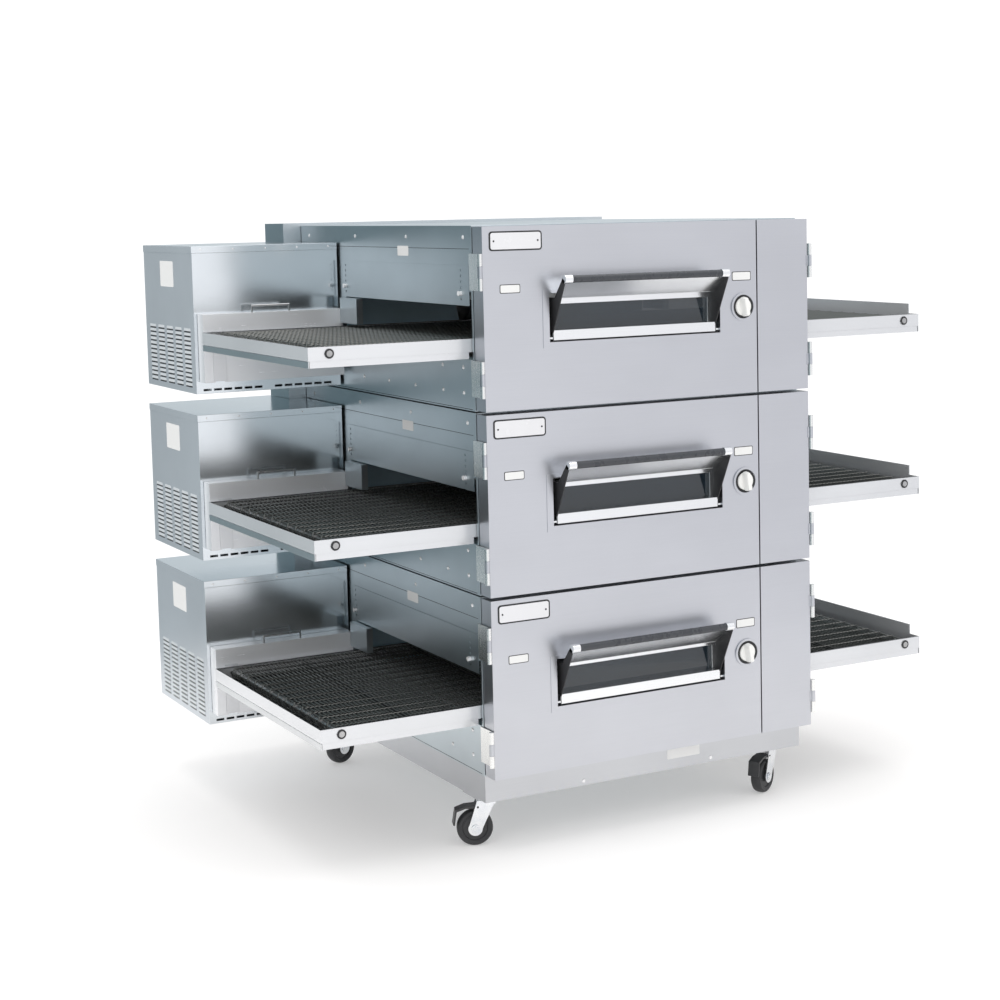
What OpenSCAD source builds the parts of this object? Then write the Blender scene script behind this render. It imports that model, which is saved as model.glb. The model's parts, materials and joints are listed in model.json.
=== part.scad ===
// Triple-deck conveyor pizza oven on casters.
// Millimetres, +Z up, +X to the exit end, +Y to the back.
// The origin is on the floor, under the middle of the whole oven.
// Modules below place Y = 0 on the face of the front doors; at_deck() and on_base() shift it.

/* [Decks] */
// Height from one deck to the next
deck_pitch = 500; // [480:1:640]
// Gap between stacked decks
deck_gap = 3; // [1:0.5:10]
// Width of the insulated cabinet
body_w = 1050; // [960:1:1400]
// Sheet thickness of the cabinet
body_sheet = 3; // [1.5:0.5:6]
// Depth of the blower space behind the cooking cavity
fan_room = 337; // [240:1:500]
// Clear gap between the doors and the cabinet
door_clear = 3; // [1:0.5:8]

/* [Base] */
// Underside of the base frame above the floor
base_bottom = 147; // [140:1:220]
// Height of the base frame
base_h = 75; // [50:1:130]
// Radius of the caster wheels
wheel_r = 50.8; // [38:0.1:52]
// Width of a caster wheel
wheel_w = 32; // [22:1:40]
// Distance from the swivel axis to the axle
caster_trail = 36; // [25:1:40]
// Distance from the cabinet side to a swivel axis
caster_inset = 52; // [40:1:120]

/* [Conveyor] */
// Length of the conveyor over its end plates
conveyor_l = 1981; // [1700:1:2400]
// Width of the wire belt
belt_w = 814; // [500:1:1000]
// Height of the conveyor's side rails
rail_h = 36; // [34:1:60]
// Top of the rails above the deck's underside
rail_top = 196; // [190:1:220]
// Sheet thickness of the conveyor frame
rail_sheet = 3; // [1.5:0.5:4]
// Gap between a rail and the edge of the belt
belt_gap = 7; // [6:0.5:20]
// Distance from the end of the conveyor to the shaft
shaft_inset = 58; // [45:1:90]
// Radius of the belt shafts
shaft_r = 8; // [5:0.5:9]
// Height of the stop above the exit end of the conveyor
end_stop_h = 30; // [10:1:60]

/* [Doors] */
// Thickness of the doors
door_t = 57; // [45:1:80]
// Sheet thickness of the doors
door_sheet = 2; // [1:0.5:3]
// Width of the narrow service door, with its gap
service_w = 178; // [140:1:240]
// Gap between the two doors
seam_gap = 4; // [3.5:0.5:8]
// Width of the window opening
window_w = 547; // [350:1:560]
// Height of the window opening
window_h = 132; // [110:1:150]
// Bottom of the window opening above the deck's underside
window_z = 180; // [150:1:200]
// Centre of the window opening from the middle of the oven
window_x = -53.5; // [-80:0.5:-40]
// Radius of the window's handle bar
bar_r = 10; // [7:0.5:14]
// Distance from the door face to the middle of the handle bar
bar_reach = 63; // [50:1:90]
// Radius of the latch knob
knob_r = 32; // [24:1:38]

/* [Control boxes] */
// Height of a control box
box_h = 437; // [300:1:460]
// Underside of a control box above the deck's underside
box_z = 9; // [4:1:30]
// Depth of the cover over the conveyor drive
cover_depth = 52; // [40:1:80]
// Top of the drive cover above the deck's underside
cover_top = 247; // [235:1:300]
// Sheet thickness of boxes and covers
box_sheet = 2; // [1:0.5:3]
// Depth of the rear housing
rear_depth = 165; // [150:1:260]
// How far the rear housing stands out past the cabinet side
rear_overhang = 59; // [20:1:90]

/* [Hidden] */
$fn = 64;
deck_names = ["lower", "middle", "upper"];
deck_parts = ["body_shell", "control_box", "conveyor_frame", "drive_cover", "front_door", "service_door",
  "window_frame", "window_glass", "latch_knob", "drive_shaft", "idler_shaft", "crumb_tray_left",
  "crumb_tray_right", "blower_fan"];
caster_names = ["front_left", "front_right", "rear_left", "rear_right"];

run_fit = 0.05;
eps = 1;

half_w = body_w / 2;
half_l = conveyor_l / 2;
deck_count = len(deck_names);
deck_base = base_bottom + base_h;
deck_h = deck_pitch - deck_gap;

// Depths, measured back from the door face
body_front = door_t + door_clear;
frame_front = body_front + 13;
belt_front = frame_front + rail_sheet + belt_gap;
belt_back = belt_front + belt_w;
frame_back = belt_back + belt_gap + rail_sheet;
tunnel_front = frame_front - 5;
tunnel_back = frame_back + 26;
cover_front = frame_back + 25;
box_front = cover_front + cover_depth;
cavity_back = tunnel_back + 20;
body_back = cavity_back + fan_room;
rear_front = body_back + 3;
rear_back = rear_front + rear_depth;
bar_cap_r = bar_r + 2;
front_most = -(bar_reach + bar_cap_r);
mid_y = (front_most + rear_back) / 2;

// Heights, measured up from a deck's underside
rail_bottom = rail_top - rail_h;
belt_r = rail_h / 2 - 1.5;
belt_t = 5;
shaft_z = rail_top - rail_h / 2;
sprocket_r = belt_r - belt_t - 0.3;
tunnel_bottom = rail_bottom - 20;
tunnel_h = 180;
baffle_bottom = rail_top + 87;
baffle_h = 108;
fan_z = deck_h / 2;
fan_r = 140;
fan_shaft_r = 12;
// How far the shaft reaches into the motor, and the motor behind the cabinet
fan_shaft_l = 42;
blower_motor_l = 135;
finger_pitch = (body_w - 130) / 4;
finger_inset = 60;

// Doors and hinges
door_z0 = 3;
door_z1 = deck_h - 3;
door_side = half_w - 2;
seam_x = half_w - service_w;
knob_x = seam_x - 49;
knob_z = 250;
knob_shaft_r = 8;
border_t = 1.5;
hinge_r = 7;
hinge_pin_r = 4;
hinge_x = half_w + 6;
hinge_h = 98;
hinge_zs = [40, 325];
knuckle_gap = 0.5;
leaf_t = 3;

// Window opening and the window that fills it
win_x0 = window_x - window_w / 2;
win_x1 = window_x + window_w / 2;
win_z1 = window_z + window_h;
sash_side = 12;
sash_x0 = win_x0 + sash_side;
sash_x1 = win_x1 - sash_side;
sash_z0 = window_z + 4;
sash_y0 = 3;
sash_y1 = 34;
sash_z1 = win_z1 - 13;
rail_lo = 27;
rail_hi = 18;
stile_w = 16;
glass_t = 4;
glass_lap = 8;
pivot_y = 8;
pivot_z = sash_z0 + 6;
pivot_r = 4;
bar_z = sash_z1 + 51;
plate_t = 2.5;

// Control boxes and drive
box_right = -(half_w + 6);
box_lip = 1.5;
box_left = -half_l + box_lip;
box_top = box_z + box_h;
notch_x = -(half_w + rear_overhang + 4);
cover_left = -half_l + 11.5;
cover_bottom = 45;
shaft_x = half_l - shaft_inset;
shaft_hole_r = 14;
gear_start = box_front + 16;
gear_bore = 60;
motor_start = gear_start + 90;
motor_l = 150;
inlet_r = 12.5;

// Base and casters
caster_x = half_w - caster_inset;
caster_ys = [body_front + 96, body_back - 132];
caster_at = [for (y = caster_ys, x = [-caster_x, caster_x]) [x, y]];
caster_turn = [160, 209, 200, 150];
swivel_r = 26;
stem_r = 8;
axle_r = 6;
pedal_pin_r = 3;
plate_h = 4;
crown = base_bottom - plate_h - 0.5;
pedal_x = caster_trail - 8;
pedal_z = crown - 31;

module block(lo, hi) translate(lo) cube(hi - lo);

// A cylinder along +Y
module y_rod(x, z, y0, y1, r) translate([x, y0, z]) rotate([-90, 0, 0]) cylinder(r = r, h = y1 - y0);

// A cylinder along +X
module x_rod(y, z, x0, x1, r) translate([x0, y, z]) rotate([0, 90, 0]) cylinder(r = r, h = x1 - x0);

// Extrude an outline drawn in (Y, Z) along +X
module along_x(x0, x1) translate([x0, 0, 0]) rotate([90, 0, 90]) linear_extrude(x1 - x0) children();

module at_deck(i) translate([0, -mid_y, deck_base + i * deck_pitch]) children();

module on_base() translate([0, -mid_y, 0]) children();

// ---- cabinet ----

module body_shell() color("silver") {
  s = body_sheet;
  jamb = 40;
  access_x = half_w - jamb;
  difference() {
    block([-half_w, body_front, 0], [half_w, body_back, deck_h]);
    block([-half_w + s, body_front + s, s], [half_w - s, cavity_back - s, deck_h - s]);
    block([-half_w + s, cavity_back, s], [half_w - s, body_back - s, deck_h - s]);
    tunnel();
    block([-access_x, body_front - eps, jamb], [access_x, body_front + s + eps, deck_h - jamb]);
    y_rod(0, fan_z, cavity_back - s - eps, cavity_back + eps, fan_r + 8);
    y_rod(0, fan_z, body_back - s - eps, body_back + eps, fan_shaft_r + run_fit);
  }
  // Lining of the tunnel mouths, as deep as the insulated side walls
  for (side = [-1, 1])
    difference() {
      block([min(side * half_w, side * (half_w - jamb)), tunnel_front - s / 2, tunnel_bottom - s],
        [max(side * half_w, side * (half_w - jamb)), tunnel_back + s, tunnel_bottom + tunnel_h + s]);
      tunnel();
    }
}

// Space that the conveyor passes through, out of both sides
module tunnel()
  block([-half_w - eps, tunnel_front, tunnel_bottom], [half_w + eps, tunnel_back, tunnel_bottom + tunnel_h]);

module air_fingers() color("gainsboro")
  for (i = [0 : deck_count - 1], x = [-1.5 : 1 : 1.5])
    at_deck(i) {
      finger(x * finger_pitch, finger_inset, tunnel_bottom - 6, false);
      finger(x * finger_pitch, rail_top + 96, deck_h - finger_inset, true);
    }

// One air finger: a duct open to the blower space, with slots in the face towards the belt
module finger(x, z0, z1, upper) {
  s = 2;
  half = finger_pitch / 2 - 12;
  y0 = frame_front + 37;
  slot_y0 = frame_front + 60;
  slot_y1 = cavity_back - 60;
  slot_z = upper ? z0 : z1;
  slot_half = 4;
  difference() {
    block([x - half, y0, z0], [x + half, cavity_back - body_sheet - 2, z1]);
    block([x - half + s, y0 + s, z0 + s], [x + half - s, cavity_back, z1 - s]);
    for (dx = [-0.5, 0, 0.5])
      block([x + dx * half - slot_half, slot_y0, slot_z - s - eps],
        [x + dx * half + slot_half, slot_y1, slot_z + s + eps]);
  }
}

module blower_motors() color("dimgray")
  for (i = [0 : deck_count - 1])
    at_deck(i)
      difference() {
        union() {
          y_rod(0, fan_z, body_back + 1, body_back + blower_motor_l, 75);
          // Mounting flange
          y_rod(0, fan_z, body_back + 1, body_back + 7, 95);
        }
        y_rod(0, fan_z, body_back, body_back + fan_shaft_l + 3, fan_shaft_r + run_fit);
      }

module blower_fan() color("lightsteelblue") {
  y0 = cavity_back + 26;
  y1 = y0 + 100;
  hub_r = 24;
  blades = 8;
  blade_half = 1.5;
  union() {
    y_rod(0, fan_z, y0, y1, hub_r);
    y_rod(0, fan_z, y1 - 4, y1, fan_r);
    y_rod(0, fan_z, y1 - eps, body_back + fan_shaft_l, fan_shaft_r);
    for (a = [0 : blades - 1])
      translate([0, 0, fan_z]) rotate([0, a * 360 / blades, 0])
        block([hub_r - 4, y0, -blade_half], [fan_r - 2, y1 - 2, blade_half]);
  }
}

module rear_housing() color("slategray") {
  s = box_sheet;
  top = deck_base + (deck_count - 1) * deck_pitch + deck_h + 8;
  w = half_w + rear_overhang;
  flange = 20;
  // Top of the opening towards the blower motors, hidden behind the upper cabinet
  open_top = top - 30;
  on_base()
    difference() {
      block([-w, rear_front, deck_base], [w, rear_back, top]);
      block([-w + s, rear_front + s, deck_base + s], [w - s, rear_back - s, top - s]);
      block([-half_w + flange, rear_front - eps, deck_base + s],
        [half_w - flange, rear_front + s + eps, open_top]);
    }
}

module eyebrow_baffles() color("silver")
  for (i = [0 : deck_count - 1], side = [0, 1])
    at_deck(i) mirror([side, 0, 0]) eyebrow_baffle();

// Height-adjustable plate over one tunnel mouth, its two thumb screws and the rear gap filler
module eyebrow_baffle() {
  t = 1.7;
  x = -half_w - 0.3;
  y0 = tunnel_front + 8;
  y1 = tunnel_back + 14;
  hole_ys = [y0 + 50, y1 - 20];
  hole_r = 3.5;
  holes = 6;
  first_hole = 17;
  pitch = 15.6;
  screw_r = 6.5;
  screw_l = 9;
  filler_w = 128;
  filler_t = 20;
  filler_y = tunnel_back - 2;
  difference() {
    block([x - t, y0, baffle_bottom], [x, y1, baffle_bottom + baffle_h]);
    for (y = hole_ys, k = [0 : holes - 1])
      x_rod(y, baffle_bottom + first_hole + k * pitch, x - t - eps, x + eps, hole_r);
  }
  for (y = hole_ys)
    x_rod(y, baffle_bottom + first_hole + pitch, x - t - screw_l, x - t - 0.1, screw_r);
  block([x - 2 - filler_t, filler_y - filler_w, rail_top + 8], [x - 2, filler_y, baffle_bottom - 3]);
}

// ---- doors ----

// Door pan: outer skin, four edges and a back liner round the insulation space, with breather holes
module door_box(x0, x1, y0, y1) {
  s = door_sheet;
  difference() {
    block([x0, y0, door_z0], [x1, y1, door_z1]);
    block([x0 + s, y0 + s, door_z0 + s], [x1 - s, y1 - s, door_z1 - s]);
    door_vents(x0, x1, (y0 + y1) / 2);
  }
}

// Breather holes through a door's bottom edge
module door_vents(x0, x1, y)
  for (x = [x0 + 50, x1 - 50])
    translate([x, y, door_z0 - eps]) cylinder(r = 5, h = door_sheet + 2 * eps);

// Middle knuckle of each hinge, joined to the door's corner; side is -1 on the left
module door_knuckles(side)
  for (z = hinge_zs) {
    z0 = z + hinge_h / 3 + knuckle_gap;
    z1 = z + 2 * hinge_h / 3 - knuckle_gap;
    difference() {
      union() {
        translate([side * hinge_x, 0, z0]) cylinder(r = hinge_r, h = z1 - z0);
        block([min(side * hinge_x, side * (door_side - 3)), -1.5, z0],
          [max(side * hinge_x, side * (door_side - 3)), 5, z1]);
      }
      translate([side * hinge_x, 0, z0 - eps]) cylinder(r = hinge_pin_r + run_fit, h = z1 - z0 + 2 * eps);
    }
  }

module hinge_leaves() color("whitesmoke")
  for (i = [0 : deck_count - 1], side = [0, 1], z = hinge_zs)
    at_deck(i) mirror([side, 0, 0]) hinge_leaf(z);

// Fixed half of a left-hand hinge: the leaf on the cabinet's side, two knuckles and the pin
module hinge_leaf(z) {
  third = hinge_h / 3;
  difference() {
    block([-half_w - leaf_t, 2, z], [-half_w, body_front + 12, z + hinge_h]);
    block([-half_w - leaf_t - eps, 1, z + third], [-half_w + eps, hinge_r + 3, z + 2 * third]);
  }
  for (z0 = [z, z + 2 * third])
    translate([-hinge_x, 0, z0]) cylinder(r = hinge_r, h = third);
  translate([-hinge_x, 0, z]) cylinder(r = hinge_pin_r, h = hinge_h);
}

module front_door() color("lavender") {
  s = door_sheet;
  x1 = seam_x - seam_gap / 2;
  border = 19.5;
  boss = 8;
  dial_t = 4;
  difference() {
    union() {
      difference() {
        door_box(-door_side, x1, 0, door_t);
        block([win_x0 - s, -eps, window_z - s], [win_x1 + s, door_t + eps, win_z1 + s]);
      }
      // Window jamb and the raised border round it
      difference() {
        union() {
          block([win_x0 - s, 0, window_z - s], [win_x1 + s, door_t, win_z1 + s]);
          block([win_x0 - border, -border_t, window_z - 15], [win_x1 + border, s, win_z1 + 10]);
          for (x = [win_x0 - boss, win_x1])
            x_rod(pivot_y, pivot_z, x, x + boss, pivot_r + 3);
        }
        block([win_x0, -border_t - eps, window_z], [win_x1, door_t + eps, win_z1]);
      }
      // Dial ring round the latch knob
      difference() {
        y_rod(knob_x, knob_z, -dial_t, eps, knob_r + 8);
        y_rod(knob_x, knob_z, -dial_t - eps, -1, knob_r + 2);
      }
    }
    x_rod(pivot_y, pivot_z, win_x0 - boss + 2, win_x1 + boss - 2, pivot_r + run_fit);
    y_rod(knob_x, knob_z, -dial_t - eps, s + eps, knob_shaft_r + run_fit);
  }
  door_knuckles(-1);
}

module service_door() color("lavender") {
  // The free edge is shallower at the back, so that it swings clear of the front door
  x0 = seam_x + seam_gap / 2;
  step = 8;
  shallow = door_t * 0.5;
  s = door_sheet;
  difference() {
    union() {
      block([x0, 0, door_z0], [door_side, shallow, door_z1]);
      block([x0 + step, 0, door_z0], [door_side, door_t, door_z1]);
    }
    block([x0 + s, s, door_z0 + s], [door_side - s, shallow - s, door_z1 - s]);
    block([x0 + step + s, s, door_z0 + s], [door_side - s, door_t - s, door_z1 - s]);
    door_vents(x0, door_side, shallow / 2);
  }
  door_knuckles(1);
}

module latch_knob() color("white") {
  cam_y = door_t * 0.7;
  reach = seam_x - seam_gap / 2 - door_sheet - knob_x - 2;
  cam_t = 4;
  grip_y = -26;
  grip_w = 20;
  grip_h = 2 * knob_r - 8;
  union() {
    y_rod(knob_x, knob_z, -6, -1.5, knob_r);
    y_rod(knob_x, knob_z, -2, cam_y + cam_t, knob_shaft_r);
    block([knob_x - grip_w / 2, grip_y, knob_z - grip_h / 2], [knob_x + grip_w / 2, -5, knob_z + grip_h / 2]);
    block([knob_x, cam_y, knob_z - 9], [knob_x + reach, cam_y + cam_t, knob_z + 9]);
  }
}

// ---- hopper window ----

module window_frame() color("whitesmoke") {
  cheek_t = 3;
  cap_l = 24;
  ledge_t = 2;
  // How far the pivot pins reach into the door
  pin_reach = 4;
  // Front edge of the ledge over the sash, clear of the raised border above it
  ledge_y = -border_t - 6.5;
  union() {
    difference() {
      union() {
        block([sash_x0, sash_y0, sash_z0], [sash_x1, sash_y1, sash_z0 + rail_lo]);
        block([sash_x0, sash_y1 - 12, sash_z0], [sash_x1, sash_y1, sash_z1]);
      }
      block([sash_x0 + stile_w, 0, sash_z0 + rail_lo], [sash_x1 - stile_w, sash_y1 + eps, sash_z1 - rail_hi]);
    }
    for (x = [sash_x0, sash_x1 - cheek_t])
      along_x(x, x + cheek_t) polygon([[sash_y1, sash_z0], [sash_y1, sash_z1], [ledge_y, sash_z1],
        [-bar_reach + 6, bar_z + 4], [-bar_reach - 7, bar_z - 5], [sash_y0, sash_z0 + rail_lo - 6],
        [sash_y0, sash_z0]]);
    block([sash_x0, ledge_y, sash_z1 - ledge_t], [sash_x1, sash_y1, sash_z1]);
    along_x(sash_x0, sash_x1) polygon([[ledge_y + 1, sash_z1 - ledge_t], [ledge_y + plate_t, sash_z1],
      [-bar_reach + 9, bar_z + 1], [-bar_reach + 7, bar_z - 6], [ledge_y - plate_t / 2, sash_z1 - ledge_t]]);
    x_rod(-bar_reach, bar_z, sash_x0, sash_x1, bar_r);
    for (x = [sash_x0, sash_x1 - cap_l])
      x_rod(-bar_reach, bar_z, x, x + cap_l, bar_cap_r);
    for (x = [win_x0 - pin_reach, sash_x1 - eps])
      x_rod(pivot_y, pivot_z, x, x + sash_side + pin_reach + eps, pivot_r);
  }
}

module window_glass() color([0.2, 0.3, 0.35, 0.5])
  block([sash_x0 + 6, sash_y1, sash_z0 + rail_lo - glass_lap],
    [sash_x1 - 6, sash_y1 + glass_t, sash_z1 - rail_hi + glass_lap]);

// ---- conveyor ----

module conveyor_frame() color("silver") {
  lip = 6;
  lip_t = 1.2;
  hanger_t = 1.5;
  hanger_l = half_l - half_w - 12;
  hanger_y = frame_front + 1;
  hanger_z = rail_bottom - 18;
  boss_r = shaft_r + 5;
  guard_y = cover_front - 1;
  guard_w = 40;
  support_w = 10;
  support_pitch = half_l * 0.36;
  stop_inset = 45;
  difference() {
    union() {
      for (flip = [0, 1])
        translate([0, flip * (frame_front + frame_back), 0]) mirror([0, flip, 0]) {
          block([-half_l, frame_front, rail_bottom], [half_l, frame_front + rail_sheet, rail_top]);
          for (z = [rail_bottom, rail_top - lip_t])
            block([-half_l, frame_front, z], [half_l, frame_front + rail_sheet + lip, z + lip_t]);
          for (x = [-shaft_x, shaft_x])
            y_rod(x, shaft_z, frame_front - 2, frame_front + 2, boss_r);
          // Runners that carry the crumb trays outside the cabinet
          for (x = [-half_l + 4, half_w + 8])
            union() {
              block([x, hanger_y, hanger_z], [x + hanger_l, hanger_y + hanger_t, rail_bottom + eps]);
              block([x, hanger_y, hanger_z], [x + hanger_l, frame_front + 12, hanger_z + hanger_t]);
            }
        }
      for (x = [-half_l, half_l - rail_sheet])
        block([x, frame_front, rail_bottom], [x + rail_sheet, frame_back, rail_top]);
      // Guard over the notch that the drive cover has for the shaft
      y_rod(-shaft_x, shaft_z, frame_back - eps, guard_y, boss_r);
      block([-shaft_x - guard_w / 2, guard_y - hanger_t, cover_bottom + 4],
        [-shaft_x + guard_w / 2, guard_y, shaft_z + guard_w / 2]);
      // Stop across the exit end
      block([half_l - rail_sheet, frame_front + stop_inset, rail_top - eps],
        [half_l, frame_back - stop_inset, rail_top + end_stop_h]);
      // Belt supports, tied to the rails between the two runs of the belt
      for (x = [-2 : 2])
        block([x * support_pitch - support_w / 2, frame_front, shaft_z - 4],
          [x * support_pitch + support_w / 2, frame_back, shaft_z + 4]);
    }
    for (x = [-shaft_x, shaft_x])
      y_rod(x, shaft_z, frame_front - 3, cover_front + 3, shaft_r + run_fit);
  }
}

module wire_belts() color("dimgray")
  for (i = [0 : deck_count - 1])
    at_deck(i) wire_belt();

// Closed loop of belt round the two shafts
module wire_belt() translate([0, belt_back, shaft_z]) rotate([90, 0, 0])
  linear_extrude(belt_w) difference() {
    belt_outline(belt_r);
    belt_outline(belt_r - belt_t);
  }

module belt_outline(r) {
  for (x = [-shaft_x, shaft_x]) translate([x, 0]) circle(r);
  translate([-shaft_x, -r]) square([2 * shaft_x, 2 * r]);
}

// Sprockets spaced evenly across the belt
module sprockets(x) {
  count = 9;
  margin = 30;
  width = 6;
  for (k = [0 : count - 1]) {
    y = belt_front + margin + k * (belt_w - 2 * margin - width) / (count - 1);
    y_rod(x, shaft_z, y, y + width, sprocket_r);
  }
}

module drive_shaft() color("gray") union() {
  y_rod(-shaft_x, shaft_z, frame_front - 4, gear_start + gear_bore, shaft_r);
  sprockets(-shaft_x);
}

module idler_shaft() color("gray") union() {
  y_rod(shaft_x, shaft_z, frame_front - 4, frame_back + 4, shaft_r);
  sprockets(shaft_x);
}

module crumb_tray_left() crumb_tray();

module crumb_tray_right() mirror([1, 0, 0]) crumb_tray();

// Shallow tray under the entry end, with a low lip all round and a taller pull at its outer end
module crumb_tray() color("silver") {
  t = 1.2;
  x0 = -half_l + 1.5;
  x1 = -half_w - 14;
  y0 = frame_front + rail_sheet + 2;
  y1 = frame_back - rail_sheet - 2;
  z0 = rail_bottom - 16;
  difference() {
    block([x0, y0, z0], [x1, y1, rail_bottom - 3]);
    block([x0 + t, y0 + t, z0 + t], [x1 - t, y1 - t, rail_bottom]);
  }
  block([-half_l, frame_front, z0 - 2], [x0 + t, frame_back, rail_bottom - 0.8]);
}

// ---- drive side ----

module box_plan(inset)
  polygon([[box_left + inset, box_front + inset], [box_right - inset, box_front + inset],
    [box_right - inset, rear_front - 6 - inset], [notch_x - inset, rear_front - 6 - inset],
    [notch_x - inset, rear_back - inset], [box_left + inset, rear_back - inset]]);

module control_box() color("lightsteelblue") {
  cap_h = 20;
  slot_inset = 22;
  slot_gap = 6;
  slot_pitch = (box_right - box_left) / 14.4;
  inlet_x = (box_left - half_w - rear_overhang) / 2;
  difference() {
    union() {
      translate([0, 0, box_z]) linear_extrude(box_h) box_plan(0);
      // Cap that folds down over the box
      block([-half_l, box_front - box_lip, box_top - cap_h], [box_right, rear_front - 8, box_top]);
      block([-half_l, box_front, box_top - cap_h], [notch_x, rear_back, box_top]);
    }
    difference() {
      translate([0, 0, box_z + box_sheet]) linear_extrude(box_h - 2 * box_sheet) box_plan(box_sheet);
      y_rod(inlet_x, 60, rear_back - 12, rear_back, inlet_r + 6);
    }
    y_rod(-shaft_x, shaft_z, box_front - eps, box_front + box_sheet + eps, shaft_hole_r);
    y_rod(inlet_x, 60, rear_back - 13, rear_back + eps, inlet_r);
    // Cooling slots along the bottom of the front, in two groups
    for (k = [0 : 2 * slot_gap])
      if (k != slot_gap)
        block([box_left + slot_inset + k * slot_pitch, box_front - eps, box_z + 8],
          [box_left + slot_inset + (k + 0.75) * slot_pitch, box_front + box_sheet + eps, box_z + 14]);
  }
}

module drive_cover() color("whitesmoke") {
  s = 1.5;
  right = -(half_w + 14);
  back = box_front - box_lip - 0.5;
  pull_w = 117;
  pull_h = 20;
  pull_x = cover_left + 0.35 * (right - cover_left);
  pull_y = cover_front + 8;
  wire = 3;
  difference() {
    block([cover_left, cover_front, cover_bottom], [right, back, cover_top]);
    block([cover_left + s, cover_front + s, cover_bottom - eps], [right + eps, back + eps, cover_top - s]);
    y_rod(-shaft_x, shaft_z, cover_front - eps, cover_front + s + eps, shaft_hole_r);
    block([-shaft_x - shaft_hole_r, cover_front - eps, cover_bottom - eps],
      [-shaft_x + shaft_hole_r, cover_front + s + eps, shaft_z]);
  }
  // Wire pull on the top edge
  union() {
    for (x = [pull_x, pull_x + pull_w])
      translate([x, pull_y, cover_top - 0.5]) cylinder(r = wire, h = pull_h + 0.5);
    for (x = [pull_x, pull_x + pull_w])
      translate([x, pull_y, cover_top + pull_h]) sphere(r = wire);
    x_rod(pull_y, cover_top + pull_h, pull_x, pull_x + pull_w, wire);
  }
}

// Each motor is a gear case, bored for the drive shaft, with the round motor behind it
module conveyor_motors() color("dimgray")
  for (i = [0 : deck_count - 1])
    at_deck(i)
      difference() {
        union() {
          block([-shaft_x - 42, gear_start, shaft_z - 60], [-shaft_x + 60, motor_start, shaft_z + 50]);
          y_rod(-shaft_x + 20, shaft_z - 5, motor_start - eps, motor_start + motor_l, 38);
        }
        y_rod(-shaft_x, shaft_z, gear_start - eps, gear_start + gear_bore + 4, shaft_r + run_fit);
      }

// ---- base and casters ----

module base_frame() color("silver") on_base() {
  s = 3;
  x1 = half_w - 2;
  y0 = body_front + 2;
  y1 = body_back - 2;
  top = deck_base - 0.3;
  flange = 70;
  plate = 50;
  difference() {
    union() {
      difference() {
        block([-x1, y0, base_bottom], [x1, y1, top]);
        block([-x1 + s, y0 + s, base_bottom + s], [x1 - s, y1 - s, top - s]);
        block([-x1 + flange, y0 + flange, base_bottom - eps], [x1 - flange, y1 - flange, top + eps]);
      }
      for (c = caster_at)
        block([c[0] - plate, c[1] - plate, base_bottom - plate_h],
          [c[0] + plate, c[1] + plate, base_bottom + s]);
    }
    for (c = caster_at)
      translate([c[0], c[1], base_bottom - plate_h - eps])
        cylinder(r = stem_r + run_fit, h = plate_h + s + 2 * eps);
  }
}

// Swivelling parts are drawn trailing along +X and turned to their rest heading
module at_caster(k) on_base() translate(caster_at[k]) rotate([0, 0, caster_turn[k]]) children();

module caster_fork(k) color("whitesmoke") at_caster(k) {
  leg = 3;
  gap = wheel_w / 2 + 3;
  // Half widths of the legs at the crown and round the axle
  top = swivel_r - 4;
  end_r = 20;
  union() {
    translate([0, 0, crown - 14]) cylinder(r = swivel_r, h = 14);
    translate([0, 0, crown - eps]) cylinder(r = stem_r, h = plate_h + 4);
    block([-top, -gap - leg, crown - 24], [top + 8, gap + leg, crown - 13]);
    for (side = [-1, 1])
      translate([0, side * (gap + leg / 2) + leg / 2, 0]) rotate([90, 0, 0])
        linear_extrude(leg) difference() {
          union() {
            polygon([[-top, crown - 13], [top + 8, crown - 13], [caster_trail + end_r, wheel_r],
              [caster_trail - end_r, wheel_r]]);
            translate([caster_trail, wheel_r]) circle(end_r);
          }
          translate([pedal_x, pedal_z]) circle(pedal_pin_r + run_fit);
        }
    translate([caster_trail, gap + leg + 4, wheel_r]) rotate([90, 0, 0])
      cylinder(r = axle_r, h = 2 * (gap + leg + 4));
  }
}

module caster_wheel(k) color("#202020") at_caster(k)
  translate([caster_trail, wheel_w / 2, wheel_r]) rotate([90, 0, 0])
    difference() {
      union() {
        cylinder(r = wheel_r - 3, h = wheel_w);
        translate([0, 0, 3]) cylinder(r = wheel_r, h = wheel_w - 6);
      }
      translate([0, 0, -eps]) cylinder(r = axle_r + run_fit, h = wheel_w + 2 * eps);
    }

// Foot pedal over the trailing side of a front wheel, pivoted between the fork's legs
module brake_pedal(k) color("#202020") at_caster(k) {
  half = wheel_w / 2 + 2;
  tip = caster_trail + wheel_r + 4;
  union() {
    translate([pedal_x, half + 5, pedal_z]) rotate([90, 0, 0]) cylinder(r = pedal_pin_r, h = 2 * half + 10);
    translate([pedal_x, half, pedal_z]) rotate([90, 0, 0]) cylinder(r = 5.5, h = 2 * half);
    translate([0, half, 0]) rotate([90, 0, 0]) linear_extrude(2 * half)
      polygon([[pedal_x, pedal_z - 5], [pedal_x, pedal_z + 5], [tip - 26, pedal_z + 3], [tip, pedal_z - 6],
        [tip + 7, wheel_r + 12], [tip + 2, wheel_r + 10], [tip - 4, pedal_z - 12], [tip - 28, pedal_z - 4]]);
  }
}

// ---- nodes ----

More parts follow.
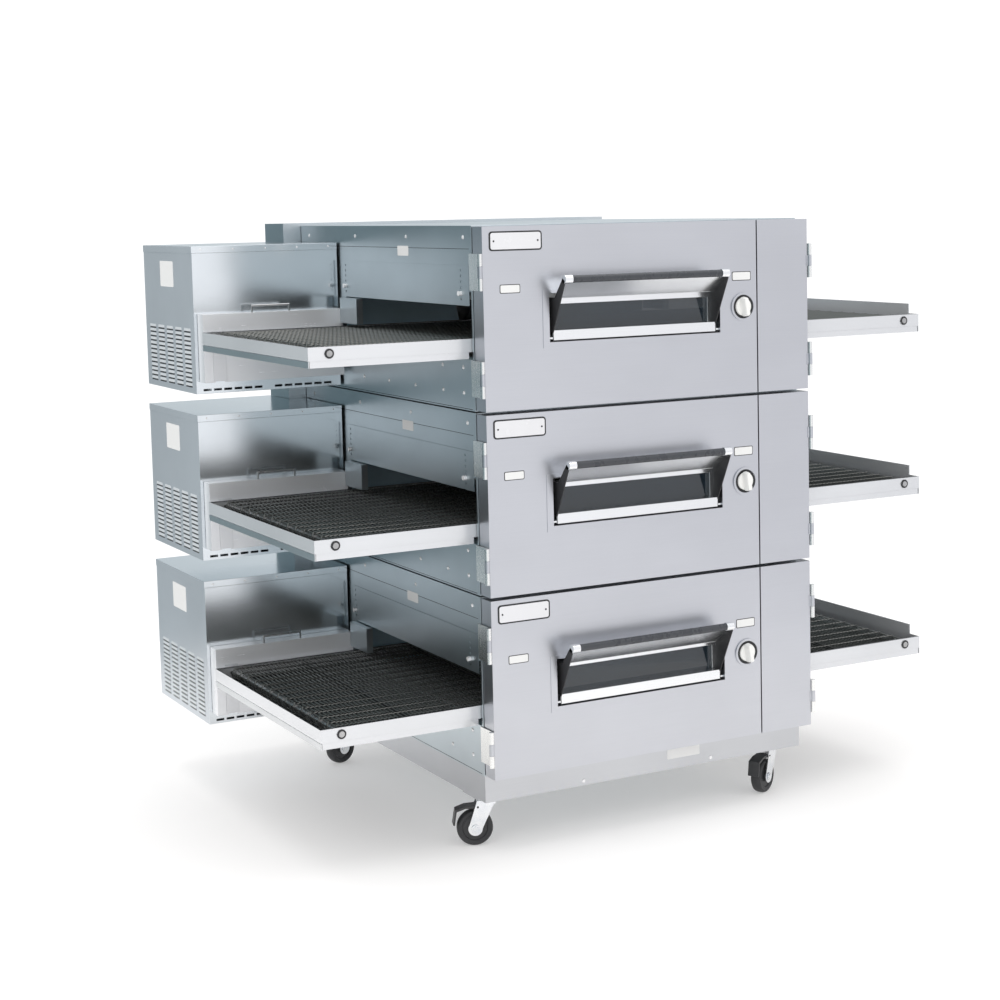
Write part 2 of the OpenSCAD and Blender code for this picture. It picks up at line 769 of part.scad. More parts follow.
for (i = [0 : deck_count - 1]) {
  d = deck_names[i];
  at_deck(i) body_shell();
  at_deck(i) control_box();
  at_deck(i) conveyor_frame();
  at_deck(i) drive_cover();
  at_deck(i) front_door();
  at_deck(i) service_door();
  at_deck(i) window_frame();
  at_deck(i) window_glass();
  at_deck(i) latch_knob();
  at_deck(i) drive_shaft();
  at_deck(i) idler_shaft();
  at_deck(i) crumb_tray_left();
  at_deck(i) crumb_tray_right();
  at_deck(i) blower_fan();
}
base_frame();
rear_housing();
hinge_leaves();
eyebrow_baffles();
air_fingers();
blower_motors();
conveyor_motors();
wire_belts();
for (k = [0 : 3]) {
  caster_fork(k);
  caster_wheel(k);
}
for (k = [0, 1])
  brake_pedal(k);
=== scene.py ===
"""Looks of a triple-deck conveyor pizza oven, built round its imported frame.

Blender works in metres. The builders below take millimetres from a deck's own corner, as a fitter would:
X from the middle of the oven, Y back from the face of the doors and Z up from the underside of the deck.
"""

import json
import logging
import math
from collections.abc import Callable, Iterable, Sequence
from dataclasses import dataclass
from enum import Enum
from typing import Any

import bmesh
import bpy
from mathutils import Matrix, Vector

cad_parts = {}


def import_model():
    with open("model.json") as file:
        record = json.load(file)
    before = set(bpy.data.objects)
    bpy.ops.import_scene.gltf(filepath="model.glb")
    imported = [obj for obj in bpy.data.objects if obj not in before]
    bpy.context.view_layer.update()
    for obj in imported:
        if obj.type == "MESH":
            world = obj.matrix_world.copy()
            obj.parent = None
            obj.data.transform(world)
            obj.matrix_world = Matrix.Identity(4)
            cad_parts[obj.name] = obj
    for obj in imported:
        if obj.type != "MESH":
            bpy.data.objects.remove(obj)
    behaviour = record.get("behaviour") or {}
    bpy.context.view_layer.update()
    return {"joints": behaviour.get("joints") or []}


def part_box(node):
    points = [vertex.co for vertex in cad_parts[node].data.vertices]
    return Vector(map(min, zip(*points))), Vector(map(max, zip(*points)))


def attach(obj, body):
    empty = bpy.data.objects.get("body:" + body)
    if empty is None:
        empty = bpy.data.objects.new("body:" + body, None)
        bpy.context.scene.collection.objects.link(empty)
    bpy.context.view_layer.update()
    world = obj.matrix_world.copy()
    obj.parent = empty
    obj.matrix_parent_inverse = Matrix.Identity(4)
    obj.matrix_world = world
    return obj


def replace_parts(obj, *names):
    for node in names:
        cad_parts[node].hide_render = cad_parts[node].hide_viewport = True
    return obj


LOG = logging.getLogger("oven")
MM = 0.001
OVEN = "oven"
DECKS = ("lower", "middle", "upper")
CASTERS = ("front_left", "front_right", "rear_left", "rear_right")
BRAKED = CASTERS[:2]
HINGE_KNUCKLE_R = 7.0
# Attribute for how bright the belt wire is painted: wear and painted highlight together.
WEAR_AND_GLINT = "wear_and_glint"

Point = Sequence[float]
Colour = tuple[float, float, float]


# ---------------------------------------------------------------- node trees


class Link:
    """An output socket that takes part in Python expressions."""

    def __init__(self, graph: "Graph", socket: bpy.types.NodeSocket) -> None:
        """Wraps one output socket of a graph."""
        self.graph = graph
        self.socket = socket

    def _maths(self, operation: str, first: Any, second: Any) -> "Link":
        """A Math node on two values or links."""
        return self.graph.node("ShaderNodeMath", {0: first, 1: second}, {"operation": operation})

    def __add__(self, other: Any) -> "Link":
        """Sum."""
        return self._maths("ADD", self, other)

    def __sub__(self, other: Any) -> "Link":
        """Difference."""
        return self._maths("SUBTRACT", self, other)

    def __rsub__(self, other: Any) -> "Link":
        """Difference, with the link on the right."""
        return self._maths("SUBTRACT", other, self)

    def __mul__(self, other: Any) -> "Link":
        """Product."""
        return self._maths("MULTIPLY", self, other)

    __radd__ = __add__
    __rmul__ = __mul__


class Graph:
    """A node tree that is written as calls and expressions."""

    def __init__(self, tree: bpy.types.NodeTree) -> None:
        """Starts from a tree with its nodes cleared."""
        self.tree = tree
        tree.nodes.clear()

    def node(self, kind: str, inputs: dict | None = None, settings: dict | None = None, output: Any = 0) -> Link:
        """Adds one node.

        Args:
            kind: the node's type.
            inputs: a value or a link for each socket, by name or number.
            settings: the node's own options, and "stops" for the stops of a ramp.
            output: name or number of the output to return.

        Returns:
            The chosen output.
        """
        made = self.tree.nodes.new(kind)
        for name, value in (settings or {}).items():
            if name == "stops":
                self._set_stops(made.color_ramp, value)
            else:
                setattr(made, name, value)
        for name, value in (inputs or {}).items():
            socket = made.inputs[name]
            if isinstance(value, Link):
                self.tree.links.new(value.socket, socket)
            else:
                socket.default_value = value
        outputs = made.outputs
        return Link(self, outputs[output]) if len(outputs) else Link(self, made.inputs[0])

    @staticmethod
    def _set_stops(ramp: bpy.types.ColorRamp, stops: Sequence[tuple[float, Sequence[float]]]) -> None:
        """Gives a ramp its stops, each a place and a colour."""
        while len(ramp.elements) < len(stops):
            ramp.elements.new(1.0)
        for element, (place, colour) in zip(ramp.elements, stops):
            element.position = place
            element.color = (*colour[:3], 1.0)

    def mix(self, factor: Any, first: Any, second: Any, blend: str = "MIX") -> Link:
        """A colour mix; a bare colour gets its alpha."""
        colours = [(*c, 1.0) if isinstance(c, tuple) and len(c) == 3 else c for c in (first, second)]
        return self.node(
            "ShaderNodeMix",
            {0: factor, 6: colours[0], 7: colours[1]},
            {"data_type": "RGBA", "blend_type": blend},
            output=2,
        )

    def noise(self, scale: Point, detail: float = 2.0, roughness: float = 0.5) -> Link:
        """Noise on object coordinates, with its own scale along each axis."""
        place = self.node("ShaderNodeTexCoord", output="Object")
        turned = self.node("ShaderNodeMapping", {"Vector": place, "Scale": tuple(scale)})
        return self.node(
            "ShaderNodeTexNoise",
            {"Vector": turned, "Scale": 1.0, "Detail": detail, "Roughness": roughness},
            {"noise_dimensions": "3D"},
        )

    def bump(self, height: Any, strength: float, distance: float) -> Link:
        """A normal bent by a height."""
        return self.node("ShaderNodeBump", {"Height": height, "Strength": strength, "Distance": distance})

    def surface(self, **sockets: Any) -> None:
        """Ends a material in a Principled shader with these sockets."""
        named = {name.replace("_", " "): value for name, value in sockets.items()}
        shader = self.node("ShaderNodeBsdfPrincipled", named)
        self.node("ShaderNodeOutputMaterial", {"Surface": shader})


# ---------------------------------------------------------------- finishes


class Grain(Enum):
    """Direction of the polishing lines, as noise scales along X, Y and Z."""

    ALONG_X = (5.0, 520.0, 520.0)
    ALONG_Y = (520.0, 5.0, 520.0)
    ALONG_Z = (520.0, 520.0, 5.0)


@dataclass(frozen=True)
class Finish:
    """A named surface. Each kind of finish writes its own nodes."""

    name: str
    colour: Colour

    def material(self) -> bpy.types.Material:
        """The material, made once."""
        found = bpy.data.materials.get(self.name)
        if found:
            return found
        made = bpy.data.materials.new(self.name)
        made.use_nodes = True
        self.dress(Graph(made.node_tree))
        return made

    def dress(self, graph: Graph) -> None:
        """Writes the shader; overridden by each kind of finish."""
        raise NotImplementedError


@dataclass(frozen=True)
class BrushedSteel(Finish):
    """Stainless sheet with polishing lines, faint smudges and a slow change of tone."""

    roughness: float = 0.3
    grain: Grain = Grain.ALONG_X
    smudge: float = 0.1
    metallic: float = 1.0
    lines: float = 0.08

    def dress(self, graph: Graph) -> None:
        """Lines drive bump and roughness; smudges drive colour and roughness."""
        lines = graph.noise(self.grain.value, detail=3.0, roughness=0.6)
        smears = graph.noise((2.1, 2.1, 3.4), detail=3.0)
        marks = graph.noise((17.0, 17.0, 29.0), detail=4.0, roughness=0.65)
        blot = graph.node(
            "ShaderNodeValToRGB",
            {"Fac": smears},
            {"stops": [(0.32, (0.0, 0.0, 0.0)), (0.7, (1.0, 1.0, 1.0))]},
        )
        worn = tuple(c * (1.0 - self.smudge) for c in self.colour)
        colour = graph.mix(blot, self.colour, worn)
        colour = graph.mix(lines * self.lines, colour, (0.25, 0.26, 0.28))
        rough = (lines - 0.5) * (self.lines * 1.25) + (marks - 0.5) * 0.05 + self.roughness
        graph.surface(
            Base_Color=colour,
            Metallic=self.metallic,
            Roughness=rough,
            Normal=graph.bump(lines, self.lines * 0.6, 0.0002),
        )


@dataclass(frozen=True)
class PlatedMetal(Finish):
    """Zinc or turned steel: bright, slightly cloudy, with a fine grain."""

    roughness: float = 0.25
    cloud: Colour = (0.45, 0.47, 0.5)
    metallic: float = 1.0

    def dress(self, graph: Graph) -> None:
        """Clouds of a second tone over the plating."""
        clouds = graph.noise((38.0, 38.0, 38.0), detail=4.0, roughness=0.6)
        fine = graph.noise((400.0, 400.0, 400.0), detail=2.0)
        graph.surface(
            Base_Color=graph.mix((clouds - 0.35) * 0.9, self.colour, self.cloud),
            Metallic=self.metallic,
            Roughness=(clouds - 0.5) * 0.25 + self.roughness,
            Normal=graph.bump(fine, 0.1, 0.0003),
        )


@dataclass(frozen=True)
class OvenWire(Finish):
    """Belt wire browned by the oven, painted bright on its hooks: partly wear, partly painted highlight."""

    bright: Colour = (0.88, 0.87, 0.83)
    roll_start: float = 0.925

    def dress(self, graph: Graph) -> None:
        """Hooks are painted bright, partly as wear and partly as painted highlight, and brighter still where the belt
        turns round its shafts; the runs between them take wear in bands across the belt.
        """
        bands = graph.noise((60.0, 1.0, 60.0), detail=2.0, roughness=0.7)
        spots = graph.noise((240.0, 240.0, 240.0), detail=2.0)
        rubbed_and_lit = graph.node("ShaderNodeAttribute", settings={"attribute_name": WEAR_AND_GLINT}, output="Fac")
        place = graph.node("ShaderNodeTexCoord", output="Object")
        apart = graph.node("ShaderNodeSeparateXYZ", {"Vector": place}, output="X")
        turned = graph.node("ShaderNodeMath", {0: apart}, {"operation": "ABSOLUTE"})
        rolled_and_lit = graph.node("ShaderNodeMath", {0: turned, 1: self.roll_start}, {"operation": "GREATER_THAN"})
        # Painted highlight and wear: hooks go bright and less metallic, more so where the belt turns round its shafts.
        wear_and_glint = graph.node(
            "ShaderNodeValToRGB",
            {"Fac": rubbed_and_lit * (rolled_and_lit * 0.3 + 0.42) + bands * 0.55 + spots * 0.2},
            {"stops": [(0.5, (0.0, 0.0, 0.0)), (0.72, (1.0, 1.0, 1.0))]},
        )
        graph.surface(
            Base_Color=graph.mix(wear_and_glint, self.colour, self.bright),
            Metallic=1.0 - graph.node("ShaderNodeRGBToBW", {"Color": wear_and_glint}) * 0.65,
            Roughness=(spots - 0.5) * 0.3 + 0.38,
        )


@dataclass(frozen=True)
class Moulded(Finish):
    """Plastic, rubber, enamel or paint with a fine texture and light scuffs."""

    roughness: float = 0.45
    texture: float = 300.0
    depth: float = 0.15
    scuff: float = 0.12

    def dress(self, graph: Graph) -> None:
        """Texture drives bump; scuffs lighten the colour and dull it."""
        skin = graph.noise((self.texture,) * 3, detail=3.0)
        scuffs = graph.noise((23.0, 23.0, 23.0), detail=5.0, roughness=0.7)
        dusty = tuple(c + (0.5 - c) * self.scuff for c in self.colour)
        graph.surface(
            Base_Color=graph.mix(scuffs, self.colour, dusty),
            Roughness=(scuffs - 0.5) * 0.2 + self.roughness,
            Normal=graph.bump(skin, self.depth, 0.0004),
        )


@dataclass(frozen=True)
class StudioFloor(Finish):
    """Matt pale paper that glows a little, so that shadows on it stay light."""

    glow: float = 0.3

    def dress(self, graph: Graph) -> None:
        """A faint cloud over the paper."""
        clouds = graph.noise((3.0, 3.0, 3.0))
        graph.surface(
            Base_Color=graph.mix(clouds * 0.1, self.colour, tuple(c * 0.97 for c in self.colour)),
            Roughness=0.9,
            Specular_IOR_Level=0.0,
            Emission_Color=(1.0, 1.0, 1.0, 1.0),
            Emission_Strength=self.glow,
        )


@dataclass(frozen=True)
class DarkGlass(Finish):
    """Tempered pane, darkened in patches by oven film."""

    alpha: float = 0.86

    def dress(self, graph: Graph) -> None:
        """Film changes the colour and the clearness."""
        film = graph.noise((3.2, 8.0, 7.0), detail=3.0)
        graph.surface(
            Base_Color=graph.mix(film, self.colour, tuple(c * 0.35 for c in self.colour)),
            Roughness=film * 0.06 + 0.03,
            Alpha=film * 0.12 + self.alpha - 0.06,
            Specular_IOR_Level=0.7,
            Coat_Weight=0.4,
            Coat_Roughness=0.03,
        )


DOOR = BrushedSteel("door_sheet", (0.61, 0.62, 0.655), 0.34, Grain.ALONG_X, 0.06)
CABINET = BrushedSteel("cabinet_sheet", (0.58, 0.64, 0.67), 0.3, Grain.ALONG_Y, 0.16, lines=0.03)
# Bluish, half-metal lining inside the cavity: painted light standing for the light seen through the tunnel.
LINING_LIT = BrushedSteel("cavity_lining_painted_light", (0.48, 0.64, 0.72), 0.4, Grain.ALONG_X, 0.2, 0.4)
# Louvre hoods in a brighter, less metallic copy of the box sheet: painted highlight.
LOUVRE_HIGHLIGHT = BrushedSteel("louvre_painted_highlight", (0.86, 0.88, 0.9), 0.3, Grain.ALONG_Y, 0.04, 0.35)
BOX = BrushedSteel("box_sheet", (0.80, 0.84, 0.87), 0.17, Grain.ALONG_Z, 0.1, lines=0.03)
# Copy of the box sheet for the end face, half metal so that it reads lighter: painted light on that side.
BOX_END_LIT = BrushedSteel("box_end_painted_light", (0.60, 0.64, 0.68), 0.32, Grain.ALONG_Z, 0.1, 0.5, 0.05)
RAIL = BrushedSteel("conveyor_sheet", (0.76, 0.77, 0.79), 0.24, Grain.ALONG_X, 0.08, 0.5)
# Near-black sheet for what lies under the belt: partly soot, partly painted shade.
SOOT_AND_SHADE = BrushedSteel("soot_and_shade_sheet", (0.10, 0.10, 0.105), 0.45, Grain.ALONG_Y, 0.3, 0.8)
COVER = BrushedSteel("cover_sheet", (0.86, 0.87, 0.89), 0.26, Grain.ALONG_X, 0.06, 0.45, 0.04)
TRIM = BrushedSteel("window_sheet", (0.88, 0.89, 0.9), 0.2, Grain.ALONG_X, 0.04)
BASE = BrushedSteel("base_sheet", (0.60, 0.61, 0.63), 0.32, Grain.ALONG_X, 0.1)
REAR = BrushedSteel("rear_sheet", (0.64, 0.69, 0.72), 0.32, Grain.ALONG_Z, 0.14)
HINGE = BrushedSteel("hinge_plate", (0.92, 0.92, 0.9), 0.26, Grain.ALONG_Z, 0.03)
TRAY = BrushedSteel("tray_sheet", (0.8, 0.81, 0.82), 0.33, Grain.ALONG_Y, 0.1)
DUCT = PlatedMetal("aluminised_sheet", (0.62, 0.62, 0.6), 0.42)
SHAFT = PlatedMetal("turned_steel", (0.5, 0.5, 0.5), 0.3, (0.28, 0.27, 0.26))
ZINC = PlatedMetal("bright_zinc", (0.88, 0.89, 0.9), 0.2, (0.55, 0.6, 0.7))
# Screw heads nearly white and only partly metallic so that they show as bright dots: plated steel with painted
# highlight.
SCREW = PlatedMetal("screw_steel_painted_glint", (0.92, 0.92, 0.92), 0.2, (0.6, 0.6, 0.62), 0.35)
WIRE = OvenWire("belt_wire", (0.09, 0.085, 0.08))
GLASS = DarkGlass("oven_glass", (0.02, 0.035, 0.05))
RUBBER = Moulded("tyre_rubber", (0.018, 0.018, 0.02), 0.55, 260.0, 0.2, 0.05)
PEDAL = Moulded("pedal_paint", (0.02, 0.02, 0.022), 0.4, 300.0, 0.1, 0.06)
GRIP = Moulded("bar_coating", (0.022, 0.026, 0.034), 0.28, 500.0, 0.08, 0.08)
# Near-black for real dark trim (badge, label borders, seams, bushings) and for painted shade in the window cheeks, the
# dial recess, the louvre openings and the vent slots.
DARK = Moulded("dark_paint_and_shade", (0.012, 0.012, 0.014), 0.6, 300.0, 0.1, 0.04)
IVORY = Moulded("knob_plastic", (0.85, 0.85, 0.83), 0.3, 400.0, 0.05, 0.04)
LABEL = Moulded("label_film", (0.8, 0.8, 0.79), 0.4, 500.0, 0.04, 0.06)
BADGE = Moulded("badge_enamel", (0.74, 0.74, 0.76), 0.25, 500.0, 0.03, 0.04)
MOTOR = Moulded("motor_paint", (0.07, 0.07, 0.08), 0.45, 200.0, 0.2, 0.1)
FLOOR = StudioFloor("pale_floor", (0.74, 0.73, 0.725))


# ---------------------------------------------------------------- meshes


def soften(piece: bpy.types.Object, width: float, segments: int = 2) -> None:
    """Rounds the sharp edges of a piece.

    Args:
        piece: a mesh object.
        width: width of the rounding, in millimetres.
        segments: how many faces make the rounding.
    """
    for polygon in piece.data.polygons:
        polygon.use_smooth = True
    edges = piece.modifiers.new("edges", "BEVEL")
    edges.limit_method = "ANGLE"
    edges.angle_limit = math.radians(40)
    edges.width = width * MM
    edges.segments = segments
    edges.harden_normals = True


def place(piece: bpy.types.Object, body: str, slot: str, finishes: Sequence[Finish] = ()) -> bpy.types.Object:
    """Gives a piece its finishes and its body.

    Args:
        piece: a mesh object at the origin.
        body: the body that it rides on.
        slot: not used.
        finishes: one finish for each material index, left out where the mesh already has them.

    Returns:
        The piece.
    """
    if not piece.data.materials:
        for finish in finishes:
            piece.data.materials.append(finish.material())
    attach(piece, body)
    LOG.info("%s rides on %s", piece.name, body)
    return piece


def link_mesh(name: str, mesh: bpy.types.Mesh) -> bpy.types.Object:
    """An object for a mesh, linked to the scene."""
    piece = bpy.data.objects.new(name, mesh)
    bpy.context.scene.collection.objects.link(piece)
    return piece


class Shape:
    """A mesh made from closed solids, in millimetres from an origin in the frame."""

    def __init__(self, origin: Vector) -> None:
        """Starts an empty mesh; origin is in metres."""
        self.mesh = bmesh.new()
        self.origin = origin
        self.tone = 0

    def paint(self, tone: int) -> "Shape":
        """Sets the material index of what is added next."""
        self.tone = tone
        return self

    def _tint(self, vertices: Iterable[bmesh.types.BMVert]) -> None:
        """Gives new faces the present material index."""
        for vertex in vertices:
            for face in vertex.link_faces:
                face.material_index = self.tone

    def block(self, low: Point, high: Point) -> "Shape":
        """A box between two corners."""
        low, high = Vector(low), Vector(high)
        matrix = Matrix.LocRotScale((low + high) / 2, None, high - low)
        self._tint(bmesh.ops.create_cube(self.mesh, size=1.0, matrix=matrix)["verts"])
        return self

    def rod(self, start: Point, end: Point, radius: float, end_radius: float | None = None, sides: int = 32) -> "Shape":
        """A cylinder or cone between two points."""
        start, end = Vector(start), Vector(end)
        turn = (end - start).to_track_quat("Z", "Y").to_matrix().to_4x4()
        made = bmesh.ops.create_cone(
            self.mesh,
            cap_ends=True,
            segments=sides,
            radius1=radius,
            radius2=radius if end_radius is None else end_radius,
            depth=(end - start).length,
            matrix=Matrix.Translation((start + end) / 2) @ turn,
        )
        self._tint(made["verts"])
        return self

    def prism(self, outline: Sequence[tuple[float, float]], axis: int, low: float, high: float) -> "Shape":
        """An outline drawn across one axis and extruded along it.

        Args:
            outline: points on the two other axes, in order.
            axis: 0, 1 or 2 for X, Y or Z.
            low: where the solid starts.
            high: where it ends.

        Returns:
            The shape itself.
        """

        def ring(level: float) -> list[bmesh.types.BMVert]:
            points = [list(pair) for pair in outline]
            for point in points:
                point.insert(axis, level)
            return [self.mesh.verts.new(point) for point in points]

        first, last = ring(low), ring(high)
        self.mesh.faces.new(first)
        self.mesh.faces.new(last)
        for k in range(len(outline)):
            n = (k + 1) % len(outline)
            self.mesh.faces.new((first[k], first[n], last[n], last[k]))
        self._tint(first + last)
        return self

    def lathe(self, profile: Sequence[tuple[float, float]], centre: Point, axis: Vector, sides: int = 48) -> "Shape":
        """A closed profile of (radius, distance along the axis) turned round an axis."""
        turn = Vector(axis).to_track_quat("Z", "Y").to_matrix()
        rings = []
        for k in range(sides):
            angle = 2 * math.pi * k / sides
            spoke = (math.cos(angle), math.sin(angle))
            rings.append(
                [self.mesh.verts.new(Vector(centre) + turn @ Vector((r * spoke[0], r * spoke[1], h))) for r, h in profile]
            )
        for k in range(sides):
            here, there = rings[k], rings[(k + 1) % sides]
            for i in range(len(profile)):
                j = (i + 1) % len(profile)
                self.mesh.faces.new((here[i], here[j], there[j], there[i]))
        self._tint(vertex for ring in rings for vertex in ring)
        return self

    def to_object(self, name: str) -> bpy.types.Object:
        """The shape as an object at the origin of the frame, with its faces outwards."""
        bmesh.ops.recalc_face_normals(self.mesh, faces=self.mesh.faces)
        bmesh.ops.transform(self.mesh, matrix=Matrix.Translation(self.origin) @ Matrix.Scale(MM, 4), verts=self.mesh.verts)
        mesh = bpy.data.meshes.new(name)
        self.mesh.to_mesh(mesh)
        self.mesh.free()
        return link_mesh(name, mesh)

    def build(self, name: str, body: str, slot: str, finishes: Sequence[Finish], bevel: float = 0.6) -> bpy.types.Object:
        """Makes the piece, rounds its edges and places it on its body."""
        piece = self.to_object(name)
        soften(piece, bevel)
        return place(piece, body, slot, finishes)


def rounded_rectangle(low: Point, high: Point, radius: float, steps: int = 5) -> list[tuple[float, float]]:
    """Outline of a rectangle with round corners."""
    corners = ((high[0], high[1], 0), (low[0], high[1], 1), (low[0], low[1], 2), (high[0], low[1], 3))
    outline = []
    for x, z, quarter in corners:
        cx = x + (radius if x == low[0] else -radius)
        cz = z + (radius if z == low[1] else -radius)
        for k in range(steps + 1):
            angle = math.pi / 2 * (quarter + k / steps)
            outline.append((cx + radius * math.cos(angle), cz + radius * math.sin(angle)))
    return outline


def refined(node: str, body: str, slot: str, finishes: Sequence[Finish], bevel: float = 0.8,
            tone: Callable[[Vector], int] | None = None, merge: bool = True) -> bpy.types.Object:
    """A finely edged copy of a CAD node, which it replaces.

    Args:
        node: the CAD node's name.
        body: the body that it rides on.
        slot: the record's slot.
        finishes: one finish for each material index.
        bevel: width of the rounded edges, in millimetres.
        tone: gives a face's material index from its middle, in metres.
        merge: whether flat neighbouring faces are joined first.

    Returns:
        The new piece.
    """
    work = bmesh.new()
    work.from_mesh(bpy.data.objects[node].data)
    bmesh.ops.remove_doubles(work, verts=work.verts, dist=0.01 * MM)
    if merge:
        bmesh.ops.dissolve_limit(work, angle_limit=math.radians(0.5), verts=work.verts, edges=work.edges)
    for face in work.faces:
        face.material_index = tone(face.calc_center_median()) if tone else 0
    mesh = bpy.data.meshes.new(f"{node}_finished")
    work.to_mesh(mesh)
    work.free()
    for spare in ("custom_normal", "sharp_edge", "sharp_face"):
        if spare in mesh.attributes:
            mesh.attributes.remove(mesh.attributes[spare])
    piece = link_mesh(f"{node}_finished", mesh)
    soften(piece, bevel)
    place(piece, body, slot, finishes)
    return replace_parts(piece, node)


# ---------------------------------------------------------------- geometry nodes


class Repeater:
    """A Geometry Nodes tree that puts a small template mesh on every point of a mesh."""

    NAME = "repeat_on_points"

    def __init__(self) -> None:
        """Builds the tree once, with its named inputs."""
        self.tree = bpy.data.node_groups.new(self.NAME, "GeometryNodeTree")
        for label, kind, way in (
            ("Points", "NodeSocketGeometry", "INPUT"),
            ("Template", "NodeSocketObject", "INPUT"),
            ("Size", "NodeSocketFloat", "INPUT"),
            ("Finish", "NodeSocketMaterial", "INPUT"),
            ("Pieces", "NodeSocketGeometry", "OUTPUT"),
        ):
            self.tree.interface.new_socket(name=label, in_out=way, socket_type=kind)
        graph = Graph(self.tree)
        entry = graph.node("NodeGroupInput")
        sockets = {name: Link(graph, entry.socket.node.outputs[name]) for name in ("Points", "Template", "Size", "Finish")}
        template = graph.node("GeometryNodeObjectInfo", {"Object": sockets["Template"]}, output="Geometry")
        scattered = graph.node(
            "GeometryNodeInstanceOnPoints",
            {"Points": sockets["Points"], "Instance": template, "Scale": sockets["Size"]},
        )
        solid = graph.node("GeometryNodeRealizeInstances", {"Geometry": scattered})
        dressed = graph.node("GeometryNodeSetMaterial", {"Geometry": solid, "Material": sockets["Finish"]})
        graph.node("NodeGroupOutput", {"Pieces": dressed})

    def scatter(self, name: str, template: Shape, points: Iterable[Point], body: str, slot: str, finish: Finish,
                origin: Vector = Vector(), size: float = 1.0) -> bpy.types.Object:
        """Copies a template to points and makes one plain mesh of the copies.

        Args:
            name: the new piece's name.
            template: the shape to repeat, drawn round its own zero.
            points: places in millimetres from the origin.
            body: the body that the piece rides on.
            slot: the record's slot.
            finish: the finish of every copy.
            origin: where the points are measured from, in metres.
            size: scale of the copies.

        Returns:
            The new piece.
        """
        model = template.to_object(f"{name}_template")
        mesh = bpy.data.meshes.new(name)
        mesh.from_pydata([origin + Vector(p) * MM for p in points], [], [])
        piece = link_mesh(name, mesh)
        run_tree(piece, self.tree, {"Template": model, "Size": size, "Finish": finish.material()})
        bpy.data.objects.remove(model)
        return place(piece, body, slot)


def run_tree(piece: bpy.types.Object, tree: bpy.types.NodeTree, values: dict[str, Any]) -> None:
    """Runs a Geometry Nodes tree on a piece and keeps the result as its plain mesh.

    Args:
        piece: the object whose mesh goes in.
        tree: the node group.
        values: the tree's inputs by name.
    """
    modifier = piece.modifiers.new("tree", "NODES")
    modifier.node_group = tree
    for item in tree.interface.items_tree:
        if item.item_type == "SOCKET" and item.in_out == "INPUT" and item.name in values:
            modifier[item.identifier] = values[item.name]
    depsgraph = bpy.context.evaluated_depsgraph_get()
    made = bpy.data.meshes.new_from_object(piece.evaluated_get(depsgraph), depsgraph=depsgraph)
    piece.modifiers.remove(modifier)
    piece.data = made
    for polygon in made.polygons:
        polygon.use_smooth = True
    made.set_sharp_from_angle(angle=math.radians(40))


